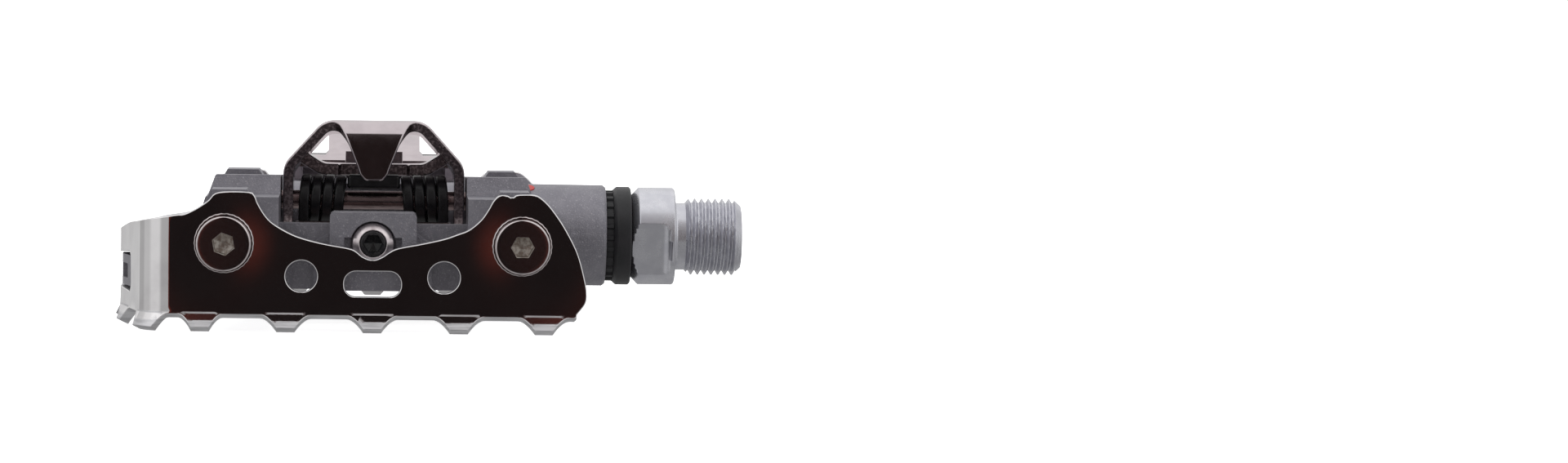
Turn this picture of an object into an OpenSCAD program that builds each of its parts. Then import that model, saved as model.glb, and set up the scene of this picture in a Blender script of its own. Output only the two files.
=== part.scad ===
// Dual-purpose bicycle pedal, left-hand side: spring binding on top, toothed steel cage below.
// X runs along the spindle towards the crank, Y points forwards, Z points up.
// The origin lies on the spindle axis where the crank thread starts. Millimetres.

/* [Spindle] */
// Major diameter of the 9/16 inch crank thread
thread_d = 14.29; // [14.2:0.01:14.4]
// Length of full thread, without its end chamfer
thread_len = 9.1; // [8:0.1:11]
// Diameter of the relief groove beside the thread
relief_d = 12.5; // [12:0.1:13]
// Width of the relief groove
relief_len = 2.1; // [1.5:0.1:2.5]
// Diameter of the wrench collar
collar_d = 18.1; // [17.5:0.1:18.5]
// Length of the wrench collar
collar_len = 8; // [7:0.1:9]
// Distance across the two wrench flats
flats_af = 15; // [14.8:0.1:15.2]
// Diameter of the shaft under the seal
seal_seat_d = 12; // [11.6:0.1:12]
// Diameter of the slim middle of the shaft
shaft_d = 8; // [7:0.1:8.4]
// Diameter of the small thread at the outer end
tip_thread_d = 6; // [5:0.1:6.4]

/* [Bearings] */
// Ball diameter
ball_d = 2.38; // [2.3:0.01:2.4]
// Balls in each row
ball_count = 12; // [8:1:12]
// Radius of the circle the balls run on
ball_pitch_r = 5.2; // [5.1:0.05:5.3]
// Outer diameter of the bearing sleeve
sleeve_d = 14.4; // [14:0.1:14.6]

/* [Body] */
// Distance from the pedal's middle to the start of the crank thread
middle_offset = 58.2; // [57:0.1:60]
// Barrel diameter at the crank end
barrel_d = 18.8; // [18.5:0.1:19.2]
// Barrel end next to the lock ring, from the pedal's middle
barrel_end = 43.2; // [42.5:0.1:44]
// Half the gap between the arms, where the claw swings
arm_gap = 16.75; // [16.7:0.05:17.2]
// Outer side of the left arms, from the pedal's middle
arm_outer_left = 29.4; // [28:0.1:30]
// Outer side of the right arms, from the pedal's middle
arm_outer_right = 28.3; // [27:0.1:29]
// Underside of the arms
arm_bottom = -7.9; // [-8.5:0.1:-7]

/* [Cage] */
// Half the depth of the cage over its flat plates
cage_depth = 46; // [45:0.5:47]
// Sheet thickness
cage_t = 1.9; // [1.6:0.1:2]
// Outside radius of the two corner bends
cage_bend_r = 6; // [5.5:0.5:7]
// Height of the fold above the teeth
fold_z = -11.5; // [-12:0.1:-11]
// Outward slope of the toothed rim
flare = 27; // [20:1:30]
// Distance between teeth
tooth_pitch = 15.2; // [14:0.1:16]
// Height of a tooth, measured down the rim from the fold
tooth_h = 3.1; // [2.6:0.1:3.4]
// Width of a tooth's flat tip
tooth_tip = 3.2; // [2.5:0.1:4]
// Sideways position of the cage bolts
bolt_x = 26.3; // [25:0.1:27]
// Height of the cage bolts
bolt_z = 0.6; // [0:0.1:1.5]

/* [Binding] */
// Sheet thickness of the rear claw
claw_t = 1.85; // [1.6:0.05:2]
// Half the width of the rear claw
claw_half = 16.4; // [16:0.05:16.4]
// Top of the rear claw
claw_top = 21.85; // [21:0.05:22.5]
// Claw pin diameter
pin_d = 3.5; // [3:0.1:4]
// Fore-and-aft position of the claw pin
pin_y = -18; // [-19:0.5:-17]
// Height of the claw pin
pin_z = 7; // [6.5:0.1:7.5]
// Outer diameter of the springs
spring_d = 9.4; // [8.6:0.1:9.6]
// Distance from one turn of a spring to the next
spring_pitch = 2.12; // [2.05:0.01:2.14]
// Height of the tension bolt
tension_z = 0.45; // [0:0.05:1]

/* [Hidden] */
$fn = 96;
small = 0.05;   // running clearance on a radius
eps = 0.01;     // overlap between pieces of one solid

thread_x = middle_offset;
thread_end = thread_x + thread_len;
thread_chamfer = 1.2;
shoulder_x = thread_x - relief_len;
collar_x = shoulder_x - collar_len;
collar_cone = 1.3;
spindle_tip = -22.4;
tip_shoulder = -11.6;
seal_seat_x = 32.3;
inner_ball_x = 31;
outer_ball_x = -12.5;
race_r = ball_d / 2 + 0.03;
race_lift = 1.3;           // how far a cone race rises past the ball centre
flats_tilt = 15.6;         // turn of the wrench flats about the spindle
flats_runout_r = 2;
ring_x0 = 44.6;            // lock ring flange
ring_x1 = 47.9;
ring_r = 9.15;
ring_shank_r = 7.9;
seal_r = 6.95;
sleeve_end = 0.6;          // sleeve length past each ball centre
barrel_outer = -29.4;
cap_seat_r = 7.6;
plate_in = cage_depth - cage_t;
arm_end = plate_in - small;
wall_y0 = 34.5;            // cross walls between the arms
wall_y1 = 38;
block_y = 41.6;            // rear face of the tension block
block_half = 7.7;
block_top = 5.95;
seat_z = 9.6;              // cleat seat
deck_z = 9;                // deck under the front claw
bolt_r = 3;
bolt_head_r = 4.83;
washer_t = 0.7;
tension_r = 2;
tension_head_r = 2.28;
collar_ring_r = 3.73;
screw_x = 9;
screw_y = 31.2;
screw_r = 2.5;
mark_x = 28.6;
mark_tilt = 20;

// Points of an arc, angles in degrees
function arc(c, r, a0, a1, n = 8) =
    [for (i = [0:n]) c + r * [cos(a0 + (a1 - a0) * i / n), sin(a0 + (a1 - a0) * i / n)]];
// The same points on the other side of the vertical axis, in the opposite order
function mirrored(p) = [for (i = [len(p) - 1:-1:0]) [-p[i][0], p[i][1]]];

// Moves a shape measured from the pedal's middle into the part's frame
module at_middle() translate([-middle_offset, 0, 0]) children();
// Solid of revolution about the spindle axis, from points of radius and place along it
module turned(points) rotate([0, 90, 0]) rotate_extrude() polygon(points);
// Round bar along the spindle axis
module bar(r, x0, x1) translate([x0, 0, 0]) rotate([0, 90, 0]) cylinder(r = r, h = x1 - x0);
// Round bar running fore and aft
module post(r, x, z, y0, y1) translate([x, y1, z]) rotate([90, 0, 0]) cylinder(r = r, h = y1 - y0);
// Side outline (Y, Z) carried along X
module along(x0, x1) translate([x0, 0, 0]) rotate([90, 0, 90]) linear_extrude(x1 - x0) children();
// Front outline (X, Z) carried along Y
module across(y0, y1) translate([0, y1, 0]) rotate([90, 0, 0]) linear_extrude(y1 - y0) children();
// Box between two corners
module block(a, b) translate(a) cube(b - a);
// Groove that a row of balls runs in
module race(x) rotate([0, 90, 0]) rotate_extrude() translate([ball_pitch_r, x]) circle(r = race_r);
// Hexagonal recess running fore and aft
module hex_hole(af, x, z, y0, y1, turn = 0)
    translate([x, y1, z]) rotate([90, turn, 0]) cylinder(r = af / sqrt(3), h = y1 - y0, $fn = 6);

// ---- spindle group ----

module spindle() {
    tip_r = tip_thread_d / 2;
    color("gainsboro") at_middle() difference() {
        turned([[0, spindle_tip], [tip_r - 0.4, spindle_tip], [tip_r, spindle_tip + 0.4],
            [tip_r, tip_shoulder], [shaft_d / 2, tip_shoulder], [shaft_d / 2, inner_ball_x],
            [seal_seat_d / 2, seal_seat_x], [seal_seat_d / 2, collar_x],
            [collar_d / 2 - collar_cone * 1.1, collar_x], [collar_d / 2, collar_x + collar_cone],
            [collar_d / 2, shoulder_x - 0.3], [collar_d / 2 - 0.3, shoulder_x],
            [relief_d / 2, shoulder_x], [relief_d / 2, thread_x], [thread_d / 2, thread_x],
            [thread_d / 2, thread_end], [thread_d / 2 - thread_chamfer, thread_end + thread_chamfer],
            [0, thread_end + thread_chamfer]]);
        race(inner_ball_x);
        for (side = [0, 180]) rotate([side - flats_tilt, 0, 0]) wrench_flat();
    }
}

// Tool path of one wrench flat, with the round run-out that the cutter leaves
module wrench_flat() {
    runout_x = shoulder_x - 2.7;
    translate([0, -flats_af / 2 - collar_d, -collar_d])
        cube_to([runout_x, collar_d, 2 * collar_d], collar_x - 1);
    translate([runout_x, -flats_af / 2 - flats_runout_r, -collar_d])
        cylinder(r = flats_runout_r, h = 2 * collar_d);
}

// Box from a starting place along X to the given far corner
module cube_to(corner, x0) translate([x0, 0, 0]) cube([corner[0] - x0, corner[1], corner[2]]);

module ball_row(x) at_middle() for (i = [0:ball_count - 1])
    rotate([i * 360 / ball_count, 0, 0]) translate([x, 0, ball_pitch_r]) sphere(d = ball_d, $fn = 48);

module inner_balls() color("silver") ball_row(inner_ball_x);

module outer_balls() color("silver") ball_row(outer_ball_x);

module bearing_sleeve() {
    bore_r = 4.7;
    mouth_r = ball_pitch_r + race_r;
    x0 = outer_ball_x - sleeve_end;
    x1 = inner_ball_x + sleeve_end;
    color("lightsteelblue") at_middle() difference() {
        bar(sleeve_d / 2, x0, x1);
        bar(bore_r, x0 - 1, x1 + 1);
        race(inner_ball_x);
        race(outer_ball_x);
        bar(ball_pitch_r, inner_ball_x - race_r, x1 + 1);
        bar(ball_pitch_r, x0 - 1, outer_ball_x + race_r);
        bar(mouth_r, inner_ball_x, x1 + 1);
        bar(mouth_r, x0 - 1, outer_ball_x);
    }
}

module outer_cone() {
    bore_r = tip_thread_d / 2 + 0.03;
    cone_r = seal_seat_d / 2;
    back = -16.5;
    color("silver") at_middle() difference() {
        turned([[bore_r, back], [cone_r, back], [cone_r, outer_ball_x - race_lift],
            [shaft_d / 2, outer_ball_x], [shaft_d / 2, tip_shoulder - 0.1],
            [bore_r, tip_shoulder - 0.1]]);
        race(outer_ball_x);
    }
}

module tab_washer() {
    bore_r = tip_thread_d / 2 + 0.05;
    color("silver") at_middle() difference() {
        bar(5.6, -17.3, -16.6);
        bar(bore_r, -18, -16);
    }
}

module lock_nut() {
    across_flats = 10;
    color("silver") at_middle() difference() {
        translate([-21.4, 0, 0]) rotate([0, 90, 0])
            cylinder(r = across_flats / sqrt(3), h = 4, $fn = 6);
        bar(tip_thread_d / 2 + 0.03, -22, -17);
    }
}

module dust_seal() {
    bore_r = seal_seat_d / 2 + small;
    color("black") at_middle() difference() {
        turned([[bore_r, 43.9], [seal_r - 0.02, 43.9], [seal_r - 0.02, 48.05], [bore_r, 48.05]]);
        bar(6.4, 44.8, 46.6);
    }
}

module lock_ring() {
    neck_r = 8.05;
    ribs = 24;
    ring_bore = seal_seat_d / 2 + 0.3;
    color("dimgray") at_middle() difference() {
        union() {
            turned([[0, 33.4], [ring_shank_r, 33.4], [ring_shank_r, barrel_end + small / 2],
                [neck_r, barrel_end + small], [neck_r, ring_x0], [ring_r - 0.6, ring_x0],
                [ring_r, ring_x0 + 0.8], [ring_r, ring_x1 - 0.3], [ring_r - 0.3, ring_x1],
                [0, ring_x1]]);
            for (i = [0:ribs - 1]) rotate([i * 360 / ribs, 0, 0])
                block([barrel_end + 0.3, -0.35, neck_r - 0.5], [ring_x0 + 0.2, 0.35, neck_r + 0.4]);
        }
        bar(ring_bore, 33, 44);
        bar(seal_r, 43.8, ring_x1 + 1);
    }
}

// ---- platform group ----

// Front outline of one arm on the right, out to the given side
module arm_front(outer) polygon([[arm_gap, arm_bottom], [arm_gap, 11.6], [arm_gap + 0.7, 12.3],
    [outer - 1.2, 12.3], [outer - 0.8, 11.6], [outer, 9.3], [outer + 0.4, 8.4], [outer + 0.8, 7.1],
    [outer + 0.8, arm_bottom + 1], [outer - 0.2, arm_bottom]]);

// Side outline of an arm from rear boss to front boss, with the raised pin block
module arm_side() polygon([[-arm_end, arm_bottom], [-arm_end, 8.7], [-31.3, 8.7], [-30.3, 12],
    [-12.4, 11.25], [-9.8, 6.5], [6, 6.5], [9, 8.9], [arm_end, 8.7], [arm_end, arm_bottom]]);

// Raised foot support at both ends of an arm
module arm_pads(outer) for (y = [-arm_end, wall_y0 + 1.5])
    across(y, y + arm_end - wall_y0 - 1.5)
        polygon([[21.5, 8.6], [22.4, 10], [outer - 0.8, 10], [outer, 8.6]]);

module arm(outer) {
    intersection() {
        across(-arm_end, arm_end) arm_front(outer);
        along(0, outer + 2) arm_side();
    }
    arm_pads(outer);
}

// Outline with rounded corners, exact arcs
module round_rect(x0, z0, x1, z1, r) {
    translate([x0 + r, z0]) square([x1 - x0 - 2 * r, z1 - z0]);
    translate([x0, z0 + r]) square([x1 - x0, z1 - z0 - 2 * r]);
    for (x = [x0 + r, x1 - r], z = [z0 + r, z1 - r]) translate([x, z]) circle(r = r);
}

// Rib behind the cage's outer end, tied to the left arms
module end_frame() {
    x = -43.35;
    for (side = [0, 1]) mirror([0, side, 0]) difference() {
        union() {
            translate([0, 0, arm_bottom]) linear_extrude(arm_bottom * -1 - 0.6)
                polygon([[x, -eps], [x, 24.8], [-39.9, 38.2], [-29, 38.2], [-29, 34.5],
                    [-37.2, 34.5], [-40.2, 24], [-40.2, -eps]]);
            // lug that fills the corner of the cage's window
            translate([0, 0, -8.2]) linear_extrude(5.5)
                polygon([[-43.1, 33.5], [-45.2, 25.4], [-45.35, 24.4], [-45.35, 21.5],
                    [-42.5, 21.5], [-42.5, 25], [-40.4, 33.2]]);
        }
        block([-46, 23.8, -6.9], [-42.9, 29.6, -4.3]);
    }
}

module pedal_body() {
    outer_cavity_r = 6.6;
    sleeve_stop = outer_ball_x - sleeve_end - 0.1;
    tapped = bolt_r + 0.03;
    color("darkgray") at_middle() difference() {
        union() {
            turned([[0, barrel_outer], [9.1, barrel_outer], [9.5, barrel_outer + 0.4],
                [9.55, 20], [barrel_d / 2, barrel_end - 0.5], [barrel_d / 2 - 0.4, barrel_end],
                [0, barrel_end]]);
            arm(arm_outer_right);
            mirror([1, 0, 0]) arm(arm_outer_left);
            end_frame();
            block([-17, -wall_y1, arm_bottom], [17, -wall_y0, 3.8]);
            block([-17, wall_y0, arm_bottom], [17, wall_y1, deck_z]);
            across(-block_y, -wall_y0)
                round_rect(-block_half, arm_bottom, block_half, block_top, 0.8);
            across(-wall_y1 - 1.4, -wall_y1 + eps)
                polygon([[-10.5, arm_bottom], [-10.5, 0.6], [-7, 2.6], [7, 2.6], [10.5, 0.6],
                    [10.5, arm_bottom]]);
            block([-13, -8.4, 4], [13, 13.6, seat_z]);
            block([-17, 6, 5.6], [17, wall_y0 + 1, deck_z]);
            for (x = [-screw_x, screw_x]) translate([x, screw_y, 0]) cylinder(r = 4.6, h = 6);
        }
        bar(sleeve_d / 2 + small, sleeve_stop, 34);
        bar(ring_shank_r + small, 33.3, barrel_end + 1);
        bar(outer_cavity_r, -24, 0);
        bar(cap_seat_r, barrel_outer - 1, -23);
        bar(8.6, -32, barrel_outer);
        for (x = [-bolt_x, bolt_x]) {
            post(tapped, x, bolt_z, -arm_end - 1, -31);
            post(tapped, x, bolt_z, 31, arm_end + 1);
        }
        translate([-25, pin_y, pin_z]) rotate([0, 90, 0]) cylinder(d = pin_d + 0.04, h = 50);
        post(tension_r + 0.08, 0, tension_z, -block_y - 1, -33);
        post(collar_ring_r + 0.32, 0, tension_z, -block_y - 1, -38.4);
        block([-5.15, -block_y - 1, tension_z - 1.15], [5.15, -39, tension_z + 1.15]);
        for (x = [-screw_x, screw_x]) translate([x, screw_y, 0.8]) cylinder(r = screw_r + 0.03, h = 12);
        rotate([mark_tilt, 0, 0]) translate([mark_x, 0, 8.6]) cylinder(r = 1.35, h = 2, $fn = 48);
    }
}

module side_mark() color("red") at_middle() rotate([mark_tilt, 0, 0]) translate([mark_x, 0, 8.62])
    cylinder(r = 1.3, h = 0.95, $fn = 48);

module end_cap() {
    color("black") at_middle() difference() {
        turned([[0, -30.35], [7.4, -30.35], [8.4, -29.9], [8.4, barrel_outer - small],
            [cap_seat_r - 0.04, barrel_outer - small], [cap_seat_r - 0.04, -24], [0, -24]]);
        bar(6.2, -28.8, -23);
    }
}

// ---- cage ----

bend_c = [-35.8, cage_depth - cage_bend_r];   // centre of a corner bend, seen from above
bend_turn = 76;                               // turn of the corner bend
side_y = 25;                                  // where the slanting side meets the end wall
bend_out = bend_c + cage_bend_r * [-sin(bend_turn), cos(bend_turn)];
side_len = (bend_out[1] - side_y) / sin(bend_turn);
end_x = bend_out[0] - side_len * cos(bend_turn);
plate_right = 38;
bend_in_end = bend_c + (cage_bend_r - cage_t) * [-sin(bend_turn), cos(bend_turn)];
corner_run = (bend_in_end[0] - end_x - cage_t) / cos(bend_turn);
inner_corner = [end_x + cage_t, bend_in_end[1] - corner_run * sin(bend_turn)];

// Edge of the strip seen from above, from the open end of the +Y plate to the end wall
function strip_edge(y, r, corner) =
    concat([[plate_right, y]], arc(bend_c, r, 90, 90 + bend_turn, 19), [corner]);
// The same points with Y reversed, in the opposite order
function flipped(p) = [for (i = [len(p) - 1:-1:0]) [p[i][0], -p[i][1]]];

// The whole strip seen from above
module cage_walls() {
    outer = strip_edge(cage_depth, cage_bend_r, [end_x, side_y]);
    inner = strip_edge(plate_in, cage_bend_r - cage_t, inner_corner);
    polygon(concat(outer, flipped(outer), inner_to_end(inner)));
}
function inner_to_end(p) = concat([for (q = p) [q[0], -q[1]]], [for (i = [len(p) - 1:-1:0]) p[i]]);

// Outline of the cage seen from behind, from the fold up
module cage_outline() {
    lobe = concat([[0, -2.13]], arc([0, 1.6], 3.73, -80, -32, 4),
        [[4.5, -0.02], [8.5, 0.8], [12.2, 1.7]], arc([12.3, 11.9], 9.5, -70, -18, 8),
        arc([23.2, 7.6], 2, 160, 90, 4), arc([27.7, 7.3], 2.3, 90, 38, 4));
    inboard = [[31, 7.75], [32.4, 5.98], [33.8, 3.92], [35.5, 0.77], [36.5, -1.73], [37.4, -5.1],
        [37.8, -7.6], [37.5, -9.6], [36.6, -11], [36.1, fold_z - 0.5]];
    outboard = [[-49, fold_z - 0.5], [-49, 0.8], [-45.6, 2], [-43.7, 3.3], [-41.6, 4.2], [-37.8, 5],
        [-34.8, 5.45], [-33.2, 5.75], [-31.6, 6.45], [-29.9, 7.5]];
    polygon(concat(lobe, inboard, outboard, mirrored([for (p = lobe) if (p[0] < 28.5) p])));
}

// One notch between two teeth, drawn in the plane of the rim; w is its width at the fold
module notch_cut(w) {
    flank = 2.2;
    depth = 0.55;
    translate([0, 0, -4]) linear_extrude(8) difference() {
        polygon([[-w / 2 + flank, -depth], [w / 2 - flank, -depth], [w / 2, -tooth_h - 0.2],
            [w / 2, -8], [-w / 2, -8], [-w / 2, -tooth_h - 0.2]]);
    }
}

// Section of the rim: a strip that slopes outwards to the right, rooted in the wall above it
module rim_section() {
    root = 0.02;
    polygon([[root - cage_t, 0.3], [-root, 0.3], [-root, 0],
        [tooth_h * sin(flare), -tooth_h * cos(flare)],
        [tooth_h * sin(flare) - cage_t * cos(flare), -tooth_h * cos(flare) - cage_t * sin(flare)],
        [root - cage_t, -cage_t * tan(flare / 2)]]);
}

// Straight toothed rim along +X from the origin, flaring towards +Y, with notches at the given places
module straight_rim(length, notches) difference() {
    translate([0, 0, fold_z]) rotate([90, 0, 90]) linear_extrude(length) rim_section();
    for (n = notches) translate([n[0], 0, fold_z]) rotate([90 + flare, 0, 0]) notch_cut(n[1]);
}

// Notch across the bend's rim at the given angle round the bend
module bend_notch(angle, w) rotate([0, 0, angle]) translate([cage_bend_r, 0, 0])
    rotate([90 + flare, 0, -90]) notch_cut(w);

// Rim of a corner bend, which carries one tooth
module bend_rim() translate([bend_c[0], bend_c[1], fold_z]) rotate([0, 0, 102]) difference() {
    rotate_extrude(angle = bend_turn - 24) translate([cage_bend_r, 0]) rim_section();
    bend_notch(-12, 7.4);
    bend_notch(bend_turn - 12, 6);
}

module cage_rims() {
    gap = 1;
    notch_w = tooth_pitch - tooth_tip;
    plate_notches = [for (i = [-2:1]) [tooth_pitch * (i + 0.5) - bend_c[0], notch_w]];
    translate([bend_c[0], cage_depth, 0])
        straight_rim(36 - bend_c[0], concat(plate_notches, [[72.8, 10], [0, 7.6]]));
    bend_rim();
    translate([bend_out[0], bend_out[1], 0]) rotate([0, 0, 180 + bend_turn])
        mirror([0, 1, 0]) translate([gap, 0, 0])
            straight_rim(side_len - 1.5 * gap, [[3.85 - gap, 13.7], [side_len + 2.95 - gap, 12]]);
    translate([end_x, 0, 0]) rotate([0, 0, 90])
        straight_rim(side_y - gap / 2, [[7.35, 11.5], [22.3, 12]]);
}

module cage() {
    hole_r = 2.8;
    slot_half = 2.75;
    color("silver") at_middle() difference() {
        union() {
            intersection() {
                translate([0, 0, fold_z]) linear_extrude(22) cage_walls();
                across(-cage_depth - 1, cage_depth + 1) cage_outline();
            }
            for (side = [0, 1]) mirror([0, side, 0]) cage_rims();
        }
        for (x = [-bolt_x, bolt_x]) post(bolt_r + 0.3, x, bolt_z, -cage_depth - 1, cage_depth + 1);
        for (x = [-12.6, 12.6]) post(hole_r, x, -5.1, -cage_depth - 1, cage_depth + 1);
        for (x = [-slot_half, slot_half]) post(2.27, x, -6.4, -cage_depth - 1, cage_depth + 1);
        block([-slot_half, -cage_depth - 1, -8.67], [slot_half, cage_depth + 1, -4.13]);
        // the front outer corner is lower, and the end wall's top slopes down to it
        across(24.95, 48) polygon([[-31.2, 12], [-31.2, 6.2], [-32.6, 3.2], [-34.4, 1.8],
            [-37, 1], [-41.6, 0.4], [-49, 0.2], [-49, 12]]);
        along(-49, -43) polygon([[-24.6, 2.2], [25.1, 0.25], [25.1, 12], [-24.6, 12]]);
        along(-48, -41) polygon([[-35, -1.7], [-36, -4.5], [-34.4, -9.2], [-26, -8.6], [26, -8.6],
            [34.4, -9.2], [36, -4.5], [35, -1.7], [26, -2.6], [-26, -2.6]]);
    }
}

module serrated_washers() {
    teeth = 30;
    rim = [for (i = [0:2 * teeth - 1]) (i % 2 == 0 ? 5.35 : 5.15) * [cos(i * 180 / teeth),
        sin(i * 180 / teeth)]];
    color("dimgray") at_middle() for (x = [-bolt_x, bolt_x], side = [0, 1])
        mirror([0, side, 0]) translate([x, -cage_depth, bolt_z]) rotate([90, 0, 0])
            linear_extrude(washer_t) difference() {
                polygon(rim);
                circle(r = bolt_r + 0.1);
            }
}

// One cage bolt pointing forwards, its seat at the origin
module cage_bolt(turn) difference() {
    rotate([90, 0, 0]) rotate_extrude() polygon([[0, -13.2], [bolt_r - 0.5, -13.2],
        [bolt_r, -12.7], [bolt_r, 0], [bolt_head_r, 0], [bolt_head_r, 2], [bolt_head_r - 0.3, 2.3],
        [0, 2.3]]);
    hex_hole(3.4, 0, 0, -3, -0.4, turn);
    rotate([90, 0, 0]) translate([0, 0, 1.9]) cylinder(r1 = 1.6, r2 = 2.25, h = 0.45, $fn = 48);
}

module cage_bolts() {
    head_y = cage_depth + washer_t;
    turns = [[10, 30], [52, 41]];
    color("dimgray") at_middle() for (i = [0, 1], side = [0, 1])
        mirror([0, side, 0]) translate([(2 * i - 1) * bolt_x, -head_y, bolt_z])
            cage_bolt(turns[side][i]);
}

// ---- binding ----

module claw_pin() color("rosybrown") at_middle()
    translate([-24.8, pin_y, pin_z]) rotate([0, 90, 0]) cylinder(d = pin_d, h = 49.6);

// Half outline of the arched sheet, inset by t, from the leg's foot to the top
function arch_half(t) = concat([[claw_half - t, -4]],
    arc([claw_half - 4, 12.26], 4 - t, 0, 43, 5),
    arc([7.24, claw_top - 4.2], 4.2 - t, 43, 90, 5));

module arch_band() difference() {
    polygon(concat(arch_half(0), mirrored(arch_half(0))));
    polygon(concat(arch_half(claw_t), mirrored(arch_half(claw_t))));
}

// Lower lip that holds the cleat's tail, seen from behind
module jaw_front() {
    half = [[14.9, 14.9], [13.3, 16.6], [11.3, 15.3], [9.2, 13.8], [7.8, 13.4]];
    under = [[7.8, 11.1], [9.8, 11.4], [12.6, 13.1]];
    polygon(concat(under, half, mirrored(half), mirrored(under)));
}

module rear_claw() {
    near = -25.2;
    slope = 5;
    tongue_r = 3.3;
    tongue_side = concat([[-23, claw_top]], arc([near, claw_top - tongue_r], tongue_r, 90, 180, 6),
        [[-27.4, 10.5], [-25.56, 10.5]],
        arc([near, claw_top - tongue_r], tongue_r - claw_t, 180, 90, 6), [[-23, claw_top - claw_t]]);
    color("rosybrown") at_middle() difference() {
        union() {
            intersection() {
                translate([0, near, claw_top]) rotate([-slope, 0, 0]) translate([0, 0, -claw_top])
                    across(-1, 22) arch_band();
                along(-20, 20) polygon([[near, 3], [near, 23], [-9, 23], [-9, 12.6], [-12.6, 9.4],
                    [-13.4, 3]]);
            }
            difference() {
                across(-14, -7.4) jaw_front();
                translate([0, 1.6, 0]) cylinder(r = 12.1, h = 30);
                block([-6.2, -15, 5], [6.2, -12.9, 16]);
            }
            intersection() {
                along(-7, 7) polygon(tongue_side);
                across(-30, -22) {
                    polygon([[-6.8, 22], [-6.6, 21], [-4.9, 18.7], [-3, 14.6], [-2.3, 12.8],
                        [2.3, 12.8], [3, 14.6], [4.9, 18.7], [6.6, 21], [6.8, 22]]);
                    translate([0, 13.35]) circle(r = 2.37);
                }
            }
        }
        translate([-20, pin_y, pin_z]) rotate([0, 90, 0]) cylinder(d = pin_d + 0.12, h = 40);
    }
}

// Rectangular-wire torsion spring about the claw pin, given for the left side. It starts at the
// bridge, and each turn goes down at the back and steps outwards. The leg leaves straight down.
wire_w = 1.9;
wire_h = 1.8;
wire_start = 15;
wire_stop = 1170;
spring_x = 4.9;
function wire_x(a) = -spring_x - wire_w - spring_pitch * (a - wire_start) / 360;
function wire_ring(a) = [for (c = [[0, 0], [0, -wire_h], [wire_w, -wire_h], [wire_w, 0]])
    [wire_x(a) + c[0], pin_y - (spring_d / 2 + c[1]) * sin(a),
        pin_z + (spring_d / 2 + c[1]) * cos(a)]];

module coil() {
    rings = [for (a = [wire_start:15:wire_stop]) wire_ring(a)];
    last = len(rings) - 1;
    sides = [for (i = [0:last - 1], k = [0:3])
        [4 * i + k, 4 * i + 4 + k, 4 * i + 4 + (k + 1) % 4, 4 * i + (k + 1) % 4]];
    polyhedron([for (r = rings) each r],
        concat(sides, [[0, 1, 2, 3]], [[for (k = [3:-1:0]) 4 * last + k]]));
}

module left_coil() {
    leg_x = wire_x(wire_stop);
    back_y = pin_y - spring_d / 2;
    coil();
    block([leg_x, back_y, -2.4], [leg_x + wire_w, back_y + wire_h, pin_z + 0.4]);
}

module left_spring() color([0.1, 0.1, 0.1]) at_middle() left_coil();

module right_spring() color([0.1, 0.1, 0.1]) at_middle() mirror([1, 0, 0]) left_coil();

module spring_bridge() color([0.1, 0.1, 0.1]) at_middle()
    block([-4.8, pin_y - 3.4, 9.2], [4.8, pin_y - 0.6, 11.8]);

module tension_bolt() color([0.1, 0.1, 0.1]) at_middle() difference() {
    union() {
        post(tension_head_r, 0, tension_z, -41.3, -38.45);
        post(tension_r, 0, tension_z, -39, -23);
    }
    hex_hole(3, 0, tension_z, -42, -39.2, 30);
    translate([0, -41.31, tension_z]) rotate([-90, 0, 0])
        cylinder(r1 = 2, r2 = 1.35, h = 0.6, $fn = 48);
}

module tension_collar() color("thistle") at_middle() difference() {
    post(collar_ring_r, 0, tension_z, -41.25, -38.45);
    post(tension_head_r + small, 0, tension_z, -42, -38);
}

module tension_nut() color("silver") at_middle() difference() {
    union() {
        block([-14, -26, -2.6], [14, -22.8, 3.4]);
        post(3.4, 0, tension_z, -28, -24);
    }
    post(tension_r + small, 0, tension_z, -29, -22);
}

module front_claw() {
    hood = [[35.6, deck_z + small], [35.6, 10.95], [26.5, 10.95], [25.1, 16.7], [23.9, 17.7],
        [22.7, 17.6], [14.7, 12.9], [14.5, 11.6], [15.6, 11.3], [22.6, 15.4], [23.2, 15.1],
        [24.5, deck_z + small]];
    cheek = [[15.4, deck_z + small], [14.7, 12], [22.6, 17.1], [24.8, 16.7], [26.4, deck_z + small]];
    outline = [[-15.4, 9], [-15.4, 12], [-14, 13.4], [-12.8, 13.8], [-9.3, 13.8], [-8.7, 14.4],
        [-8.7, 17.3], [-8.3, 18], [8.3, 18], [8.7, 17.3], [8.7, 14.4], [9.3, 13.8], [12.8, 13.8],
        [14, 13.4], [15.4, 12], [15.4, 9]];
    color("rosybrown") at_middle() difference() {
        intersection() {
            union() {
                along(-15.4, 15.4) polygon(hood);
                for (side = [0, 1]) mirror([side, 0, 0]) along(13.5, 15.4) polygon(cheek);
            }
            across(10, 40) polygon(outline);
        }
        block([-5.4, 10, 8], [5.4, 17.4, 15]);
        for (x = [-screw_x, screw_x]) translate([x, screw_y, 5]) cylinder(r = screw_r + 0.25, h = 10);
    }
}

module front_claw_screws() {
    head_r = 4.1;
    seat = 10.95 + 0.02;
    color("dimgray") at_middle() for (x = [-screw_x, screw_x]) translate([x, screw_y, 0])
        difference() {
            rotate_extrude() polygon([[0, 1], [screw_r - 0.4, 1], [screw_r, 1.4], [screw_r, seat],
                [head_r, seat], [head_r, seat + 1.5], [head_r - 0.6, seat + 2.1], [0, seat + 2.1]]);
            translate([0, 0, seat + 0.4]) cylinder(r = 3 / sqrt(3), h = 3, $fn = 6);
        }
}

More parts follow.
